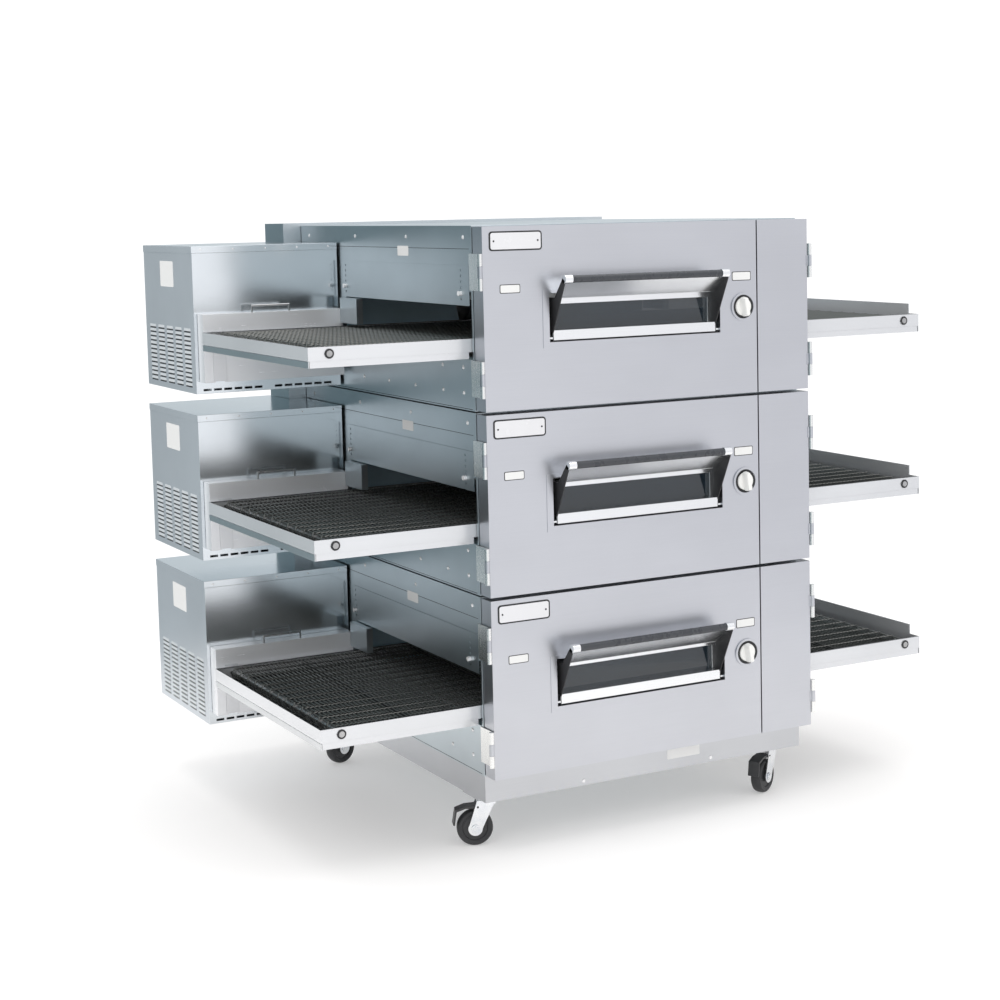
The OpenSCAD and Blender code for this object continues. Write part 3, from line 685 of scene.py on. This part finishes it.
@dataclass
class WireBelt:
    """A woven wire belt: strands across its width, hooked into each other at every column."""

    middle: Vector
    shaft_gap: float
    width: float
    pitch: float = 12.7
    columns: int = 13
    wire_r: float = 1.7
    loop_r: float = 13.0
    half_hook: float = 8.5
    lift: float = 1.7

    def cell(self) -> Shape:
        """One column of a strand: a straight run and a hook over the next strand."""
        end = self.width / self.columns / 2
        hook = end - self.half_hook
        reach = self.pitch + 0.6 * self.wire_r
        path = [
            (0, -hook, 0),
            (0.5, hook - 1.5, 0.3),
            (reach - 1, hook + 0.5, self.lift),
            (reach + 1.2, end - 3.5, -0.2),
            (reach - 1, end - 0.6, -self.lift),
            (0.3, end, -0.5),
            (0, end + self.half_hook, 0),
        ]
        # The hook is marked bright: partly wear, partly painted highlight.
        return swept(path, self.wire_r, sides=4, wear_and_glint=(0, 0.3, 1, 1, 1, 0.5, 0))

    def tree(self) -> bpy.types.NodeTree:
        """The tree: a rounded loop, points along it, and a strand of cells on each point."""
        tree = bpy.data.node_groups.new("wire_belt", "GeometryNodeTree")
        inputs = (
            ("Cell", "NodeSocketObject"),
            ("Middle", "NodeSocketVector"),
            ("Shaft Gap", "NodeSocketFloat"),
            ("Loop Radius", "NodeSocketFloat"),
            ("Pitch", "NodeSocketFloat"),
            ("Columns", "NodeSocketInt"),
            ("Column Width", "NodeSocketFloat"),
            ("Finish", "NodeSocketMaterial"),
        )
        tree.interface.new_socket(name="Start", in_out="INPUT", socket_type="NodeSocketGeometry")
        for label, kind in inputs:
            tree.interface.new_socket(name=label, in_out="INPUT", socket_type=kind)
        tree.interface.new_socket(name="Belt", in_out="OUTPUT", socket_type="NodeSocketGeometry")
        graph = Graph(tree)
        entry = graph.node("NodeGroupInput")
        given = {label: Link(graph, entry.socket.node.outputs[label]) for label, _ in inputs}

        cell = graph.node("GeometryNodeObjectInfo", {"Object": given["Cell"]}, output="Geometry")
        first = (1 - given["Columns"]) * 0.5 * given["Column Width"]
        row = graph.node(
            "GeometryNodeMeshLine",
            {
                "Count": given["Columns"],
                "Start Location": graph.node("ShaderNodeCombineXYZ", {"Y": first}),
                "Offset": graph.node("ShaderNodeCombineXYZ", {"Y": given["Column Width"]}),
            },
        )
        cells = graph.node("GeometryNodeInstanceOnPoints", {"Points": row, "Instance": cell})
        strand = graph.node("GeometryNodeRealizeInstances", {"Geometry": cells})

        radius = given["Loop Radius"]
        loop = graph.node(
            "GeometryNodeCurvePrimitiveQuadrilateral",
            {"Width": given["Shaft Gap"] + radius * 2, "Height": radius * 2},
        )
        rounded = graph.node(
            "GeometryNodeFilletCurve",
            {"Curve": loop, "Radius": radius * 0.999, "Count": 12},
            {"mode": "POLY"},
        )
        upright = graph.node(
            "GeometryNodeTransform",
            {"Geometry": rounded, "Translation": given["Middle"], "Rotation": (math.pi / 2, 0.0, 0.0)},
        )
        along = graph.node("GeometryNodeCurveToPoints", {"Curve": upright, "Length": given["Pitch"]}, {"mode": "LENGTH"})
        tangent = Link(graph, along.socket.node.outputs["Tangent"])
        forward = graph.node("ShaderNodeVectorMath", {0: tangent, 1: (-1.0, -1.0, -1.0)}, {"operation": "MULTIPLY"})
        heading = graph.node(
            "FunctionNodeAlignRotationToVector",
            {"Vector": forward},
            {"axis": "X", "pivot_axis": "Y"},
        )
        strands = graph.node("GeometryNodeInstanceOnPoints", {"Points": along, "Instance": strand, "Rotation": heading})
        belt = graph.node("GeometryNodeRealizeInstances", {"Geometry": strands})
        dressed = graph.node("GeometryNodeSetMaterial", {"Geometry": belt, "Material": given["Finish"]})
        graph.node("NodeGroupOutput", {"Belt": dressed})
        return tree

    def build(self, name: str) -> bpy.types.Object:
        """Makes the belt as one plain mesh."""
        model = self.cell().to_object(f"{name}_cell")
        piece = link_mesh(name, bpy.data.meshes.new(name))
        run_tree(
            piece,
            self.tree(),
            {
                "Cell": model,
                "Middle": self.middle,
                "Shaft Gap": self.shaft_gap * MM,
                "Loop Radius": self.loop_r * MM,
                "Pitch": self.pitch * MM,
                "Columns": self.columns,
                "Column Width": self.width / self.columns * MM,
                "Finish": WIRE.material(),
            },
        )
        bpy.data.objects.remove(model)
        return place(piece, OVEN, "belt_wire")


def swept(path: Sequence[Point], radius: float, sides: int, wear_and_glint: Sequence[float]) -> Shape:
    """A wire of even thickness along an open path.

    Args:
        path: points in order, in millimetres.
        radius: half the thickness.
        sides: faces round the wire.
        wear_and_glint: how far the wire is painted bright at each point, for wear and painted highlight, from 0 to 1.

    Returns:
        The wire as a shape with open ends, its wear and painted highlight in an attribute.
    """
    shape = Shape(Vector())
    layer = shape.mesh.verts.layers.float.new(WEAR_AND_GLINT)
    points = [Vector(p) for p in path]
    side = Vector((0, 0, 1))
    rings = []
    for k, (point, rubbed_and_lit) in enumerate(zip(points, wear_and_glint)):
        ahead = (points[min(k + 1, len(points) - 1)] - points[max(k - 1, 0)]).normalized()
        side = (side - ahead * side.dot(ahead)).normalized()
        across = ahead.cross(side)
        ring = []
        for s in range(sides):
            angle = 2 * math.pi * s / sides
            ring.append(shape.mesh.verts.new(point + (side * math.cos(angle) + across * math.sin(angle)) * radius))
            ring[-1][layer] = rubbed_and_lit
        rings.append(ring)
    for here, there in zip(rings, rings[1:]):
        for s in range(sides):
            n = (s + 1) % sides
            shape.mesh.faces.new((here[s], here[n], there[n], there[s]))
    return shape


# ---------------------------------------------------------------- sub-assemblies


class Deck:
    """Places shared by the sub-assemblies of one deck."""

    def __init__(self, name: str) -> None:
        """Reads the deck's corner from the frame."""
        self.name = name
        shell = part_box(f"{name}_body_shell")
        hinge_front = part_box(f"{name}_service_door")[0].y
        self.origin = Vector((0.0, hinge_front + HINGE_KNUCKLE_R * MM, shell[0].z))
        self.half_width = shell[1].x / MM
        self.back = (shell[1].y - self.origin.y) / MM
        self.height = (shell[1].z - shell[0].z) / MM

    def node(self, part: str) -> str:
        """Full name of one of the deck's parts."""
        return f"{self.name}_{part}"

    def box(self, part: str) -> tuple[Vector, Vector]:
        """Corners of a part of this deck, in millimetres from the deck's corner."""
        low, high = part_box(self.node(part))
        return (low - self.origin) / MM, (high - self.origin) / MM

    def shape(self) -> Shape:
        """A new shape measured from the deck's corner."""
        return Shape(self.origin)


@dataclass
class Window:
    """The drop-down window: sash, near-black cheeks (painted shade), bright sloping plate and handle bar."""

    deck: Deck
    rail_low: float = 27.0
    rail_high: float = 18.0
    stile: float = 16.0
    sash_front: float = 3.0
    sash_back: float = 34.0
    frame_depth: float = 12.0
    glass_lap: float = 8.0
    glass_side: float = 6.0
    ledge_front: float = -8.0
    bar_out: float = 63.0
    bar_up: float = 51.0
    bar_r: float = 10.0
    cap_r: float = 12.0
    cap_length: float = 24.0
    pin_r: float = 4.0

    def build(self) -> None:
        """Makes the window that replaces the plain frame, and dresses the pane."""
        deck = self.deck
        low, high = deck.box("window_glass")
        x0, x1 = low.x - self.glass_side, high.x + self.glass_side
        z0, z1 = low.z - self.rail_low + self.glass_lap, high.z + self.rail_high - self.glass_lap
        bar_z = z1 + self.bar_up
        shape = deck.shape().paint(0)
        shape.block((x0, self.sash_front, z0), (x1, self.sash_back, z0 + self.rail_low))
        back = self.sash_back - self.frame_depth
        shape.block((x0, back, z1 - self.rail_high), (x1, self.sash_back, z1))
        for x in (x0, x1 - self.stile):
            shape.block((x, back, z0 + self.rail_low), (x + self.stile, self.sash_back, z1 - self.rail_high))
        shape.block((x0 + 3, self.ledge_front, z1 - 2), (x1 - 3, back, z1))
        front, up = self.ledge_front, z1 - 2
        shape.prism(
            [(front + 1, up), (front + 3.5, z1), (9 - self.bar_out, bar_z + 1), (7 - self.bar_out, bar_z - 6)],
            0,
            x0 + 3,
            x1 - 3,
        )
        # The cheeks are near-black: painted shade on their shaded sides.
        shape.paint(1)
        cheek = [
            (self.sash_back, z0),
            (self.sash_back, z1),
            (front, z1),
            (6 - self.bar_out, bar_z + 4),
            (-7 - self.bar_out, bar_z - 5),
            (self.sash_front, z0 + self.rail_low - 6),
            (self.sash_front, z0),
        ]
        for x in (x0, x1 - 3):
            shape.prism(cheek, 0, x, x + 3)
        shape.paint(2).rod((x0 + 2, -self.bar_out, bar_z), (x1 - 2, -self.bar_out, bar_z), self.bar_r, sides=40)
        shape.paint(0)
        for x in (x0, x1 - self.cap_length):
            shape.rod((x, -self.bar_out, bar_z), (x + self.cap_length, -self.bar_out, bar_z), self.cap_r, sides=40)
        pin_low, pin_high = deck.box("window_frame")
        shape.rod((pin_low.x, 8, z0 + 6), (pin_high.x, 8, z0 + 6), self.pin_r)
        body = deck.node("window")
        piece = shape.build(deck.node("window_sash"), body, "window_steel", [TRIM, DARK, GRIP], 0.7)
        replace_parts(piece, deck.node("window_frame"))
        dress_node(deck.node("window_glass"), GLASS)


@dataclass
class Latch:
    """White quarter-turn knob with a tapered grip, on a near-black disc of painted shade in a bright ring."""

    deck: Deck
    disc_r: float = 32.0
    grip_half: float = 9.0
    grip_length: float = 28.0
    grip_top: float = -26.0
    tilt: float = math.radians(8)

    def build(self) -> None:
        """Makes the knob that replaces the plain one, and the near-black disc of painted shade behind it."""
        deck = self.deck
        low, high = deck.box("latch_knob")
        x, z = low.x + self.disc_r, (low.z + high.z) / 2
        body = deck.node("latch_knob")
        shape = deck.shape().paint(0)
        shape.rod((x, -1.6, z), (x, -6, z), self.disc_r - 6, self.disc_r - 7.5, 64)
        levels = ((-5.5, 1.25, 1.0), (-15.0, 1.0, 0.98), (-23.0, 0.82, 0.93), (self.grip_top, 0.62, 0.86))
        rings = []
        for y, wide, long in levels:
            outline = rounded_rectangle(
                (-self.grip_half * wide, -self.grip_length * long),
                (self.grip_half * wide, self.grip_length * long),
                self.grip_half * wide * 0.8,
            )
            cos, sin = math.cos(self.tilt), math.sin(self.tilt)
            rings.append([shape.mesh.verts.new((x + a * cos - b * sin, y, z + a * sin + b * cos)) for a, b in outline])
        for here, there in zip(rings, rings[1:]):
            for k in range(len(here)):
                n = (k + 1) % len(here)
                shape.mesh.faces.new((here[k], here[n], there[n], there[k]))
        shape.mesh.faces.new(rings[0])
        shape.mesh.faces.new(rings[-1])
        shape.paint(1).rod((x, -1.6, z), (x, high.y - 4, z), 8)
        shape.block((x, high.y - 4, z - 9), (high.x, high.y, z + 9))
        piece = shape.build(deck.node("latch_grip"), body, "latch_white", [IVORY, SHAFT], 0.6)
        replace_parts(piece, deck.node("latch_knob"))
        # A near-black disc under the knob: painted shade in the dial's recess.
        dial = deck.shape().lathe(
            [(2, -1.4), (self.disc_r + 1.5, -1.4), (self.disc_r + 1.5, -1.02), (2, -1.02)], (x, 0, z), Vector((0, 1, 0)), 64
        )
        dial.build(deck.node("latch_dial"), deck.node("front_door"), "latch_white", [DARK], 0.1)


@dataclass
class Doors:
    """The wide front door with its badge and labels, and the narrow service door."""

    deck: Deck
    badge_size: tuple[float, float] = (158.0, 52.0)
    badge_inset: tuple[float, float] = (20.0, 13.0)

    def build(self) -> None:
        """Refines both doors and adds what is fixed to them."""
        deck = self.deck
        front, service = deck.node("front_door"), deck.node("service_door")
        refined(front, front, "door_steel", [DOOR], 1.2)
        refined(service, service, "door_steel", [DOOR], 1.2)
        low, high = deck.box("front_door")
        left, top = -deck.half_width + 2, high.z
        x0, z1 = left + self.badge_inset[0], top - self.badge_inset[1]
        x1, z0 = x0 + self.badge_size[0], z1 - self.badge_size[1]
        badge = deck.shape().paint(1)
        badge.prism(rounded_rectangle((x0, z0), (x1, z1), 9), 1, -1.4, -0.02)
        badge.paint(0).prism(rounded_rectangle((x0 + 4, z0 + 4), (x1 - 4, z1 - 4), 6), 1, -2.0, -1.3)
        badge.paint(1)
        for x in (x0 + 13, x1 - 13):
            badge.rod((x, -2.6, (z0 + z1) / 2), (x, -1.9, (z0 + z1) / 2), 2.6, sides=20)
        badge.build(deck.node("door_badge"), front, "door_steel", [BADGE, DARK], 0.25)
        knob_low, knob_high = deck.box("latch_knob")
        glass_low, glass_high = deck.box("window_glass")
        labels = deck.shape()
        knob_x, knob_top = knob_low.x + 32, knob_high.z
        for lo, hi in (
            ((glass_low.x - 165, glass_high.z + 27), (glass_low.x - 104, glass_high.z + 51)),
            ((knob_x - 36, knob_top + 42), (knob_x + 28, knob_top + 68)),
        ):
            labels.paint(1).prism(rounded_rectangle(lo, hi, 4), 1, -0.5, -0.02)
            inner_lo, inner_hi = [lo[0] + 2, lo[1] + 2], [hi[0] - 2, hi[1] - 2]
            labels.paint(0).prism(rounded_rectangle(inner_lo, inner_hi, 3), 1, -0.8, -0.4)
        labels.build(deck.node("door_labels"), front, "door_steel", [LABEL, DARK], 0.1)


@dataclass
class Cabinet:
    """The insulated cabinet with its side seams, screws and blank label."""

    deck: Deck
    repeater: Repeater
    screw_r: float = 6.0
    seam: float = 1.4

    def screw_places(self) -> list[tuple[float, float]]:
        """(Y, Z) of the screws on each side."""
        low_row = [(y, 47.0) for y in (127, 257, 441, 626, 810, 995, 1180)]
        front_pair = [(127.0, 116.0), (257.0, 116.0)]
        top_row = [(y, 466.0) for y in (110, 480, 850, 1220)]
        return low_row + front_pair + top_row

    def build(self) -> None:
        """Refines the shell and adds the side details."""
        deck = self.deck
        half = deck.half_width
        low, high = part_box(deck.node("body_shell"))

        def within(point: Vector) -> int:
            """1 for the lining, which is tinted as painted light, 0 for the outer sheets."""
            return int(all(a + 2 * MM < p < b - 2 * MM for a, p, b in zip(low, point, high)))

        # Inner faces take the bluish lining: painted light.
        refined(deck.node("body_shell"), OVEN, "cabinet_steel", [CABINET, LINING_LIT], 1.0, within, False)
        seams = deck.shape()
        front = 76.0
        for side in (-1, 1):
            x = sorted((side * half, side * (half + 0.25)))
            for z in (5.0, 435.0):
                seams.block((x[0], front, z - self.seam / 2), (x[1], deck.back - 2, z + self.seam / 2))
            seams.block((x[0], 1010.0, 6.0), (x[1], 1010.0 + self.seam, 434.0))
        seams.build(deck.node("side_seams"), OVEN, "cabinet_steel", [DARK], 0.05)
        for side, word in ((-1, "left"), (1, "right")):
            head = Shape(Vector()).rod((0, 0, 0), (side * 2.2, 0, 0), self.screw_r, self.screw_r * 0.6, 12)
            places = [(side * half, y, z) for y, z in self.screw_places()]
            name = deck.node(f"{word}_side_screws")
            self.repeater.scatter(name, head, places, OVEN, "cabinet_steel", SCREW, deck.origin)
        label = deck.shape().prism(rounded_rectangle((465, 412), (540, 440), 3), 0, -half - 0.6, -half - 0.02)
        label.build(deck.node("side_label"), OVEN, "cabinet_steel", [LABEL], 0.1)


@dataclass
class ControlBox:
    """The box on the entry side: louvred end, cap screws, blank label and the drive cover."""

    deck: Deck
    repeater: Repeater
    columns: int = 5
    rows: int = 13
    louvre_w: float = 56.0
    louvre_h: float = 8.0
    column_pitch: float = 84.0
    row_pitch: float = 13.6
    pull_h: float = 22.0
    first: tuple[float, float] = (1050.0, 31.0)

    def build(self) -> None:
        """Refines the box and its cover and adds the repeated details."""
        deck = self.deck
        low, high = deck.box("control_box")
        wall = low.x + 1.5
        end = deck.origin.x + (wall + 0.3) * MM
        # The end face takes its own half-metal copy of the sheet: painted light on one side of the box.
        refined(deck.node("control_box"), OVEN, "control_box_steel", [BOX, BOX_END_LIT], 0.9, lambda p: int(p.x < end))
        cover = deck.node("drive_cover")
        rim = deck.origin.z + (deck.box("drive_cover")[1].z - self.pull_h) * MM
        refined(cover, cover, "cover_steel", [COVER, SHAFT], 0.7, lambda p: int(p.z > rim))
        places = [
            (wall, self.first[0] + c * self.column_pitch, self.first[1] + r * self.row_pitch)
            for c in range(self.columns)
            for r in range(self.rows)
        ]
        half = self.louvre_w / 2
        # Hoods in the brighter sheet are painted highlight; the dark strips behind them are painted shade in the louvre
        # openings.
        hood = Shape(Vector()).prism([(0.0, 8.2), (-0.9, 5.6), (-1.4, 0.2), (-1.1, 0.0), (0.0, 0.4)], 1, -half, half)
        gap_shade = Shape(Vector()).prism(
            [(-half - 1, -4.6), (half + 1, -4.6), (half + 1, 0.4), (-half - 1, 0.4)], 0, -0.35, -0.01
        )
        self.repeater.scatter(deck.node("louvre_hoods"), hood, places, OVEN, "control_box_steel", LOUVRE_HIGHLIGHT, deck.origin)
        self.repeater.scatter(deck.node("louvre_gaps"), gap_shade, places, OVEN, "control_box_steel", DARK, deck.origin)
        front_y = low.y
        top = high.z - 10
        heads = Shape(Vector()).rod((0, 0.9, 0), (0, -0.4, 0), 3.6, 2.4, 12)
        across = [low.x + 28 + k * (high.x - low.x - 56) / 4 for k in range(5)]
        cap_places = [(x, front_y, top) for x in across]
        self.repeater.scatter(deck.node("cap_screws"), heads, cap_places, OVEN, "control_box_steel", SCREW, deck.origin)
        label = deck.shape().prism(rounded_rectangle((1165, 322), (1292, 400), 4), 0, wall - 0.6, wall - 0.02)
        label.build(deck.node("end_label"), OVEN, "control_box_steel", [LABEL], 0.1)


@dataclass
class Conveyor:
    """Frame, bushings, shafts and crumb trays of one deck's conveyor."""

    deck: Deck
    bushing_r: float = 13.0
    rail_depth: float = 3.5
    frame_back: float = 907.0

    def build(self) -> None:
        """Refines the frame and dresses what turns and slides."""
        deck = self.deck
        low, high = (deck.origin + corner * MM for corner in deck.box("conveyor_frame"))
        inside = self.rail_depth * MM
        back = deck.origin.y + self.frame_back * MM

        def between(point: Vector) -> int:
            """1 for what lies under the belt, darkened as soot and painted shade, 0 for rails and end plates."""
            return int(low.y + inside < point.y < back - inside and low.x + inside < point.x < high.x - inside)

        # Frame parts under the belt are near-black: soot and painted shade.
        refined(deck.node("conveyor_frame"), OVEN, "conveyor_steel", [RAIL, SOOT_AND_SHADE], 0.5, between)
        for part, finish in (("drive_shaft", SHAFT), ("idler_shaft", SHAFT), ("blower_fan", DUCT)):
            dress_node(deck.node(part), finish)
        for side in ("left", "right"):
            tray = deck.node(f"crumb_tray_{side}")
            # Tray floors under the belt are near-black: soot and painted shade.
            refined(tray, tray, "tray_steel", [TRAY, SOOT_AND_SHADE], 0.3, between)
        front = deck.box("conveyor_frame")[0].y
        bushings = deck.shape()
        for part in ("drive_shaft", "idler_shaft"):
            low, high = deck.box(part)
            x, z = (low.x + high.x) / 2, (low.z + high.z) / 2
            bushings.paint(0).lathe(
                [(8.3, -2.4), (self.bushing_r, -2.4), (self.bushing_r, 1.5), (8.3, 1.5)], (x, front + 2, z), Vector((0, 1, 0))
            )
        bushings.build(deck.node("shaft_bushings"), OVEN, "conveyor_steel", [DARK], 0.4)


class Caster:
    """One caster: zinc fork, tyre on a black hub, axle nuts and, in front, a brake pedal."""

    def __init__(self, name: str, joints: Sequence[dict]) -> None:
        """Reads the axle from the caster's rolling joint."""
        self.name = name
        roll = next(j for j in joints if j["name"] == f"{name}_caster_roll")
        self.centre = Vector(roll["pos_m"])
        self.axis = Vector(roll["axis"]).normalized()
        self.radius = self.centre.z / MM

    def build(self) -> None:
        """Refines the fork and pedal, and turns a new wheel on the axle."""
        fork, wheel = f"{self.name}_caster_fork", f"{self.name}_caster_wheel"
        refined(fork, fork, "caster_zinc", [ZINC], 0.8)
        if self.name in BRAKED:
            pedal = f"{self.name}_brake_pedal"
            refined(pedal, pedal, "pedal_black", [PEDAL], 1.0)
        r, half = self.radius, 16.0
        tyre = [
            (r - 15, -half + 3), (r - 6, -half), (r - 2.5, -half + 2.5), (r - 0.4, -half + 8), (r, 0),
            (r - 0.4, half - 8), (r - 2.5, half - 2.5), (r - 6, half), (r - 15, half - 3),
        ]
        hub = [
            (6.2, -half), (12, -half), (13, -half + 3), (r - 17, -half + 6), (r - 15, -half + 2.5), (r - 14, -half + 3.2),
            (r - 14, half - 3.2), (r - 15, half - 2.5), (r - 17, half - 6), (13, half - 3), (12, half), (6.2, half),
        ]
        shape = Shape(self.centre)
        shape.paint(0).lathe(tyre, (0, 0, 0), self.axis, 64)
        shape.paint(1).lathe(hub, (0, 0, 0), self.axis, 48)
        piece = shape.build(f"{self.name}_wheel_tyre", wheel, "wheel_rubber", [RUBBER, PEDAL], 0.5)
        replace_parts(piece, wheel)
        nuts = Shape(self.centre)
        for side in (-1, 1):
            end = self.axis * side
            nuts.rod(end * 22.4, end * 25.5, 11.5, sides=32).rod(end * 25.5, end * 27.5, 8.5, 8.0, 6)
        nuts.build(f"{self.name}_axle_nuts", fork, "caster_zinc", [ZINC], 0.4)


def dress_node(node: str, finish: Finish) -> None:
    """Gives a CAD node its finish in place of its plain material."""
    mesh = bpy.data.objects[node].data
    mesh.materials.clear()
    mesh.materials.append(finish.material())


class Oven:
    """The shared pieces, and the decks and casters in order."""

    def __init__(self, joints: Sequence[dict]) -> None:
        """Prepares the decks and the shared repeater."""
        self.repeater = Repeater()
        self.decks = [Deck(name) for name in DECKS]
        self.casters = [Caster(name, joints) for name in CASTERS]

    def build_belts(self) -> None:
        """One woven belt for each deck, together standing for the plain loops."""
        low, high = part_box("wire_belts")
        for deck in self.decks:
            drive, idler = deck.box("drive_shaft"), deck.box("idler_shaft")
            left = (drive[0].x + drive[1].x) / 2
            right = (idler[0].x + idler[1].x) / 2
            height = (idler[0].z + idler[1].z) / 2
            middle = deck.origin + Vector(((left + right) / 2, 0, height)) * MM
            middle.y = (low.y + high.y) / 2
            belt = WireBelt(middle, right - left, (high.y - low.y) / MM - 16.0)
            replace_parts(belt.build(deck.node("woven_belt")), "wire_belts")

    def build_shared(self) -> None:
        """Base, rear housing, hinges, baffles, ducts and motors."""
        half = self.decks[0].half_width * MM
        refined("base_frame", OVEN, "base_steel", [BASE], 1.2)
        dress_node("rear_housing", REAR)
        refined("hinge_leaves", OVEN, "hinge_steel", [HINGE], 0.5)
        refined(
            "eyebrow_baffles", OVEN, "baffle_steel", [CABINET, SCREW], 0.3, lambda p: int(abs(p.x) > half + 2.05 * MM
                                                                                     and p.z > self.lip(p))
        )
        for node, finish in (("air_fingers", DUCT), ("blower_motors", MOTOR), ("conveyor_motors", MOTOR)):
            dress_node(node, finish)

    def lip(self, point: Vector) -> float:
        """Height of the lower edge of the baffle plate on the deck that a point belongs to."""
        deck = max((d for d in self.decks if d.origin.z <= point.z), key=lambda d: d.origin.z)
        return deck.origin.z + 282 * MM

    def build_base_details(self) -> None:
        """Two fasteners low on the front of the base, and a blank rating plate."""
        low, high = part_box("base_frame")
        origin = Vector((0, low.y, low.z))
        head = Shape(Vector()).rod((0, 0, 0), (0, -2.2, 0), 6.0, 4.6, 16)
        self.repeater.scatter("base_fasteners", head, [(-216, 0, 17), (208, 0, 17)], OVEN, "base_steel", SCREW, origin)
        plate = Shape(origin).prism(rounded_rectangle((60, 34), (170, 62), 3), 1, -0.6, -0.02)
        plate.build("base_plate", OVEN, "base_steel", [LABEL], 0.1)

    def build_rear_details(self) -> None:
        """Vent slots, drawn as dark strips of painted shade, for each blower motor, and screws round the rear housing.
        """
        low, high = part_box("rear_housing")
        # Each slot is a thin dark strip: painted shade where the opening is.
        slot = Shape(Vector()).block((-45, -0.02, -3), (45, 0.0, 3))
        places, screws = [], []
        for deck in self.decks:
            base = (deck.origin.z - low.z) / MM
            for column in (-1, 0, 1):
                places += [(column * 120, 0, base + 170 + k * 16) for k in range(12)]
            screws += [(x, 0, base + z) for x in (-560, -280, 280, 560) for z in (20, 250, 478)]
        origin = Vector((0, high.y, low.z))
        self.repeater.scatter("rear_vents", slot, places, OVEN, "rear_steel", DARK, origin)
        head = Shape(Vector()).rod((0, -0.5, 0), (0, 0.0, 0), 5.0, 3.0, 12)
        self.repeater.scatter("rear_screws", head, screws, OVEN, "rear_steel", SCREW, origin)

    def build(self) -> None:
        """Builds every sub-assembly in order."""
        for deck in self.decks:
            Cabinet(deck, self.repeater).build()
            Doors(deck).build()
            Window(deck).build()
            Latch(deck).build()
            ControlBox(deck, self.repeater).build()
            Conveyor(deck).build()
        self.build_belts()
        self.build_shared()
        self.build_base_details()
        self.build_rear_details()
        for caster in self.casters:
            caster.build()


# ---------------------------------------------------------------- studio


@dataclass(frozen=True)
class Studio:
    """Camera, floor, sky and lamps."""

    place: Colour = (-2.838749, -5.362515, 1.766713)
    heading: float = 29.695
    dip: float = 5.637
    roll: float = -1.099
    lens: float = 71.09
    shift: tuple[float, float] = (-0.1, -0.1)
    floor_r: float = 2.6
    sky_strength: float = 1.12

    def add_camera(self) -> None:
        """The camera, turned from heading, dip and roll."""
        yaw, dip, roll = (math.radians(a) for a in (self.heading, self.dip, self.roll))
        ahead = Vector((math.sin(yaw) * math.cos(dip), math.cos(yaw) * math.cos(dip), -math.sin(dip)))
        level = Vector((math.cos(yaw), -math.sin(yaw), 0.0))
        up = level.cross(ahead)
        side = level * math.cos(roll) + up * math.sin(roll)
        top = up * math.cos(roll) - level * math.sin(roll)
        data = bpy.data.cameras.new("camera")
        data.lens = self.lens
        data.sensor_width = 36.0
        data.shift_x, data.shift_y = self.shift
        camera = bpy.data.objects.new("camera", data)
        axes = Matrix((side, top, -ahead)).transposed().to_4x4()
        camera.matrix_world = Matrix.Translation(self.place) @ axes
        bpy.context.scene.collection.objects.link(camera)
        bpy.context.scene.camera = camera

    def add_floor(self) -> None:
        """A wide pale disc under the casters."""
        mesh = bmesh.new()
        bmesh.ops.create_circle(mesh, cap_ends=True, radius=self.floor_r, segments=96)
        data = bpy.data.meshes.new("floor")
        mesh.to_mesh(data)
        mesh.free()
        floor = link_mesh("floor", data)
        data.materials.append(FLOOR.material())

    def add_sky(self) -> None:
        """Soft studio surroundings: bright ahead of the doors, cooler and darker behind the entry side."""
        world = bpy.data.worlds.new("studio")
        world.use_nodes = True
        bpy.context.scene.world = world
        graph = Graph(world.node_tree)
        place = graph.node("ShaderNodeTexCoord", output="Generated")
        facing = graph.node(
            "ShaderNodeVectorMath", {0: place, 1: (0.87, -0.49, 0.0)}, {"operation": "DOT_PRODUCT"}, output="Value"
        )
        stops = [
            (0.0, (0.13, 0.18, 0.20)),
            (0.22, (0.20, 0.27, 0.30)),
            (0.42, (0.58, 0.63, 0.66)),
            (0.8, (0.92, 0.93, 0.95)),
            (0.91, (0.98, 0.98, 1.0)),
            (1.0, (0.62, 0.63, 0.67)),
        ]
        tone = graph.node("ShaderNodeValToRGB", {"Fac": facing * 0.5 + 0.5}, {"stops": stops})
        mirrored = graph.node("ShaderNodeLightPath", output="Is Glossy Ray")
        colour = graph.mix(mirrored, (1.0, 1.0, 1.0), tone)
        sky = graph.node("ShaderNodeBackground", {"Color": colour, "Strength": self.sky_strength})
        graph.node("ShaderNodeOutputWorld", {"Surface": sky})

    @staticmethod
    def add_lamp(name: str, place: Point, aim: Point, size: float, power: float) -> None:
        """A square soft lamp aimed at a point."""
        data = bpy.data.lights.new(name, "AREA")
        data.size = size
        data.energy = power
        lamp = bpy.data.objects.new(name, data)
        lamp.location = place
        lamp.rotation_euler = (Vector(aim) - Vector(place)).to_track_quat("-Z", "Y").to_euler()
        bpy.context.scene.collection.objects.link(lamp)

    def build(self) -> None:
        """Sets the whole studio."""
        bpy.context.scene.view_settings.view_transform = "Standard"
        self.add_camera()
        self.add_floor()
        self.add_sky()
        self.add_lamp("overhead", (0.0, -0.6, 5.5), (0.0, 0.0, 0.0), 5.0, 90.0)
        self.add_lamp("entry_fill", (-5.0, -4.0, 3.4), (-0.5, 0.0, 0.9), 2.0, 14.0)


def main() -> None:
    """Loads the frame and builds the oven and its studio."""
    logging.basicConfig(level=logging.INFO, format="%(name)s: %(message)s")
    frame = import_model()
    Studio().build()
    Oven(frame["joints"]).build()


if __name__ == "__main__":
    main()
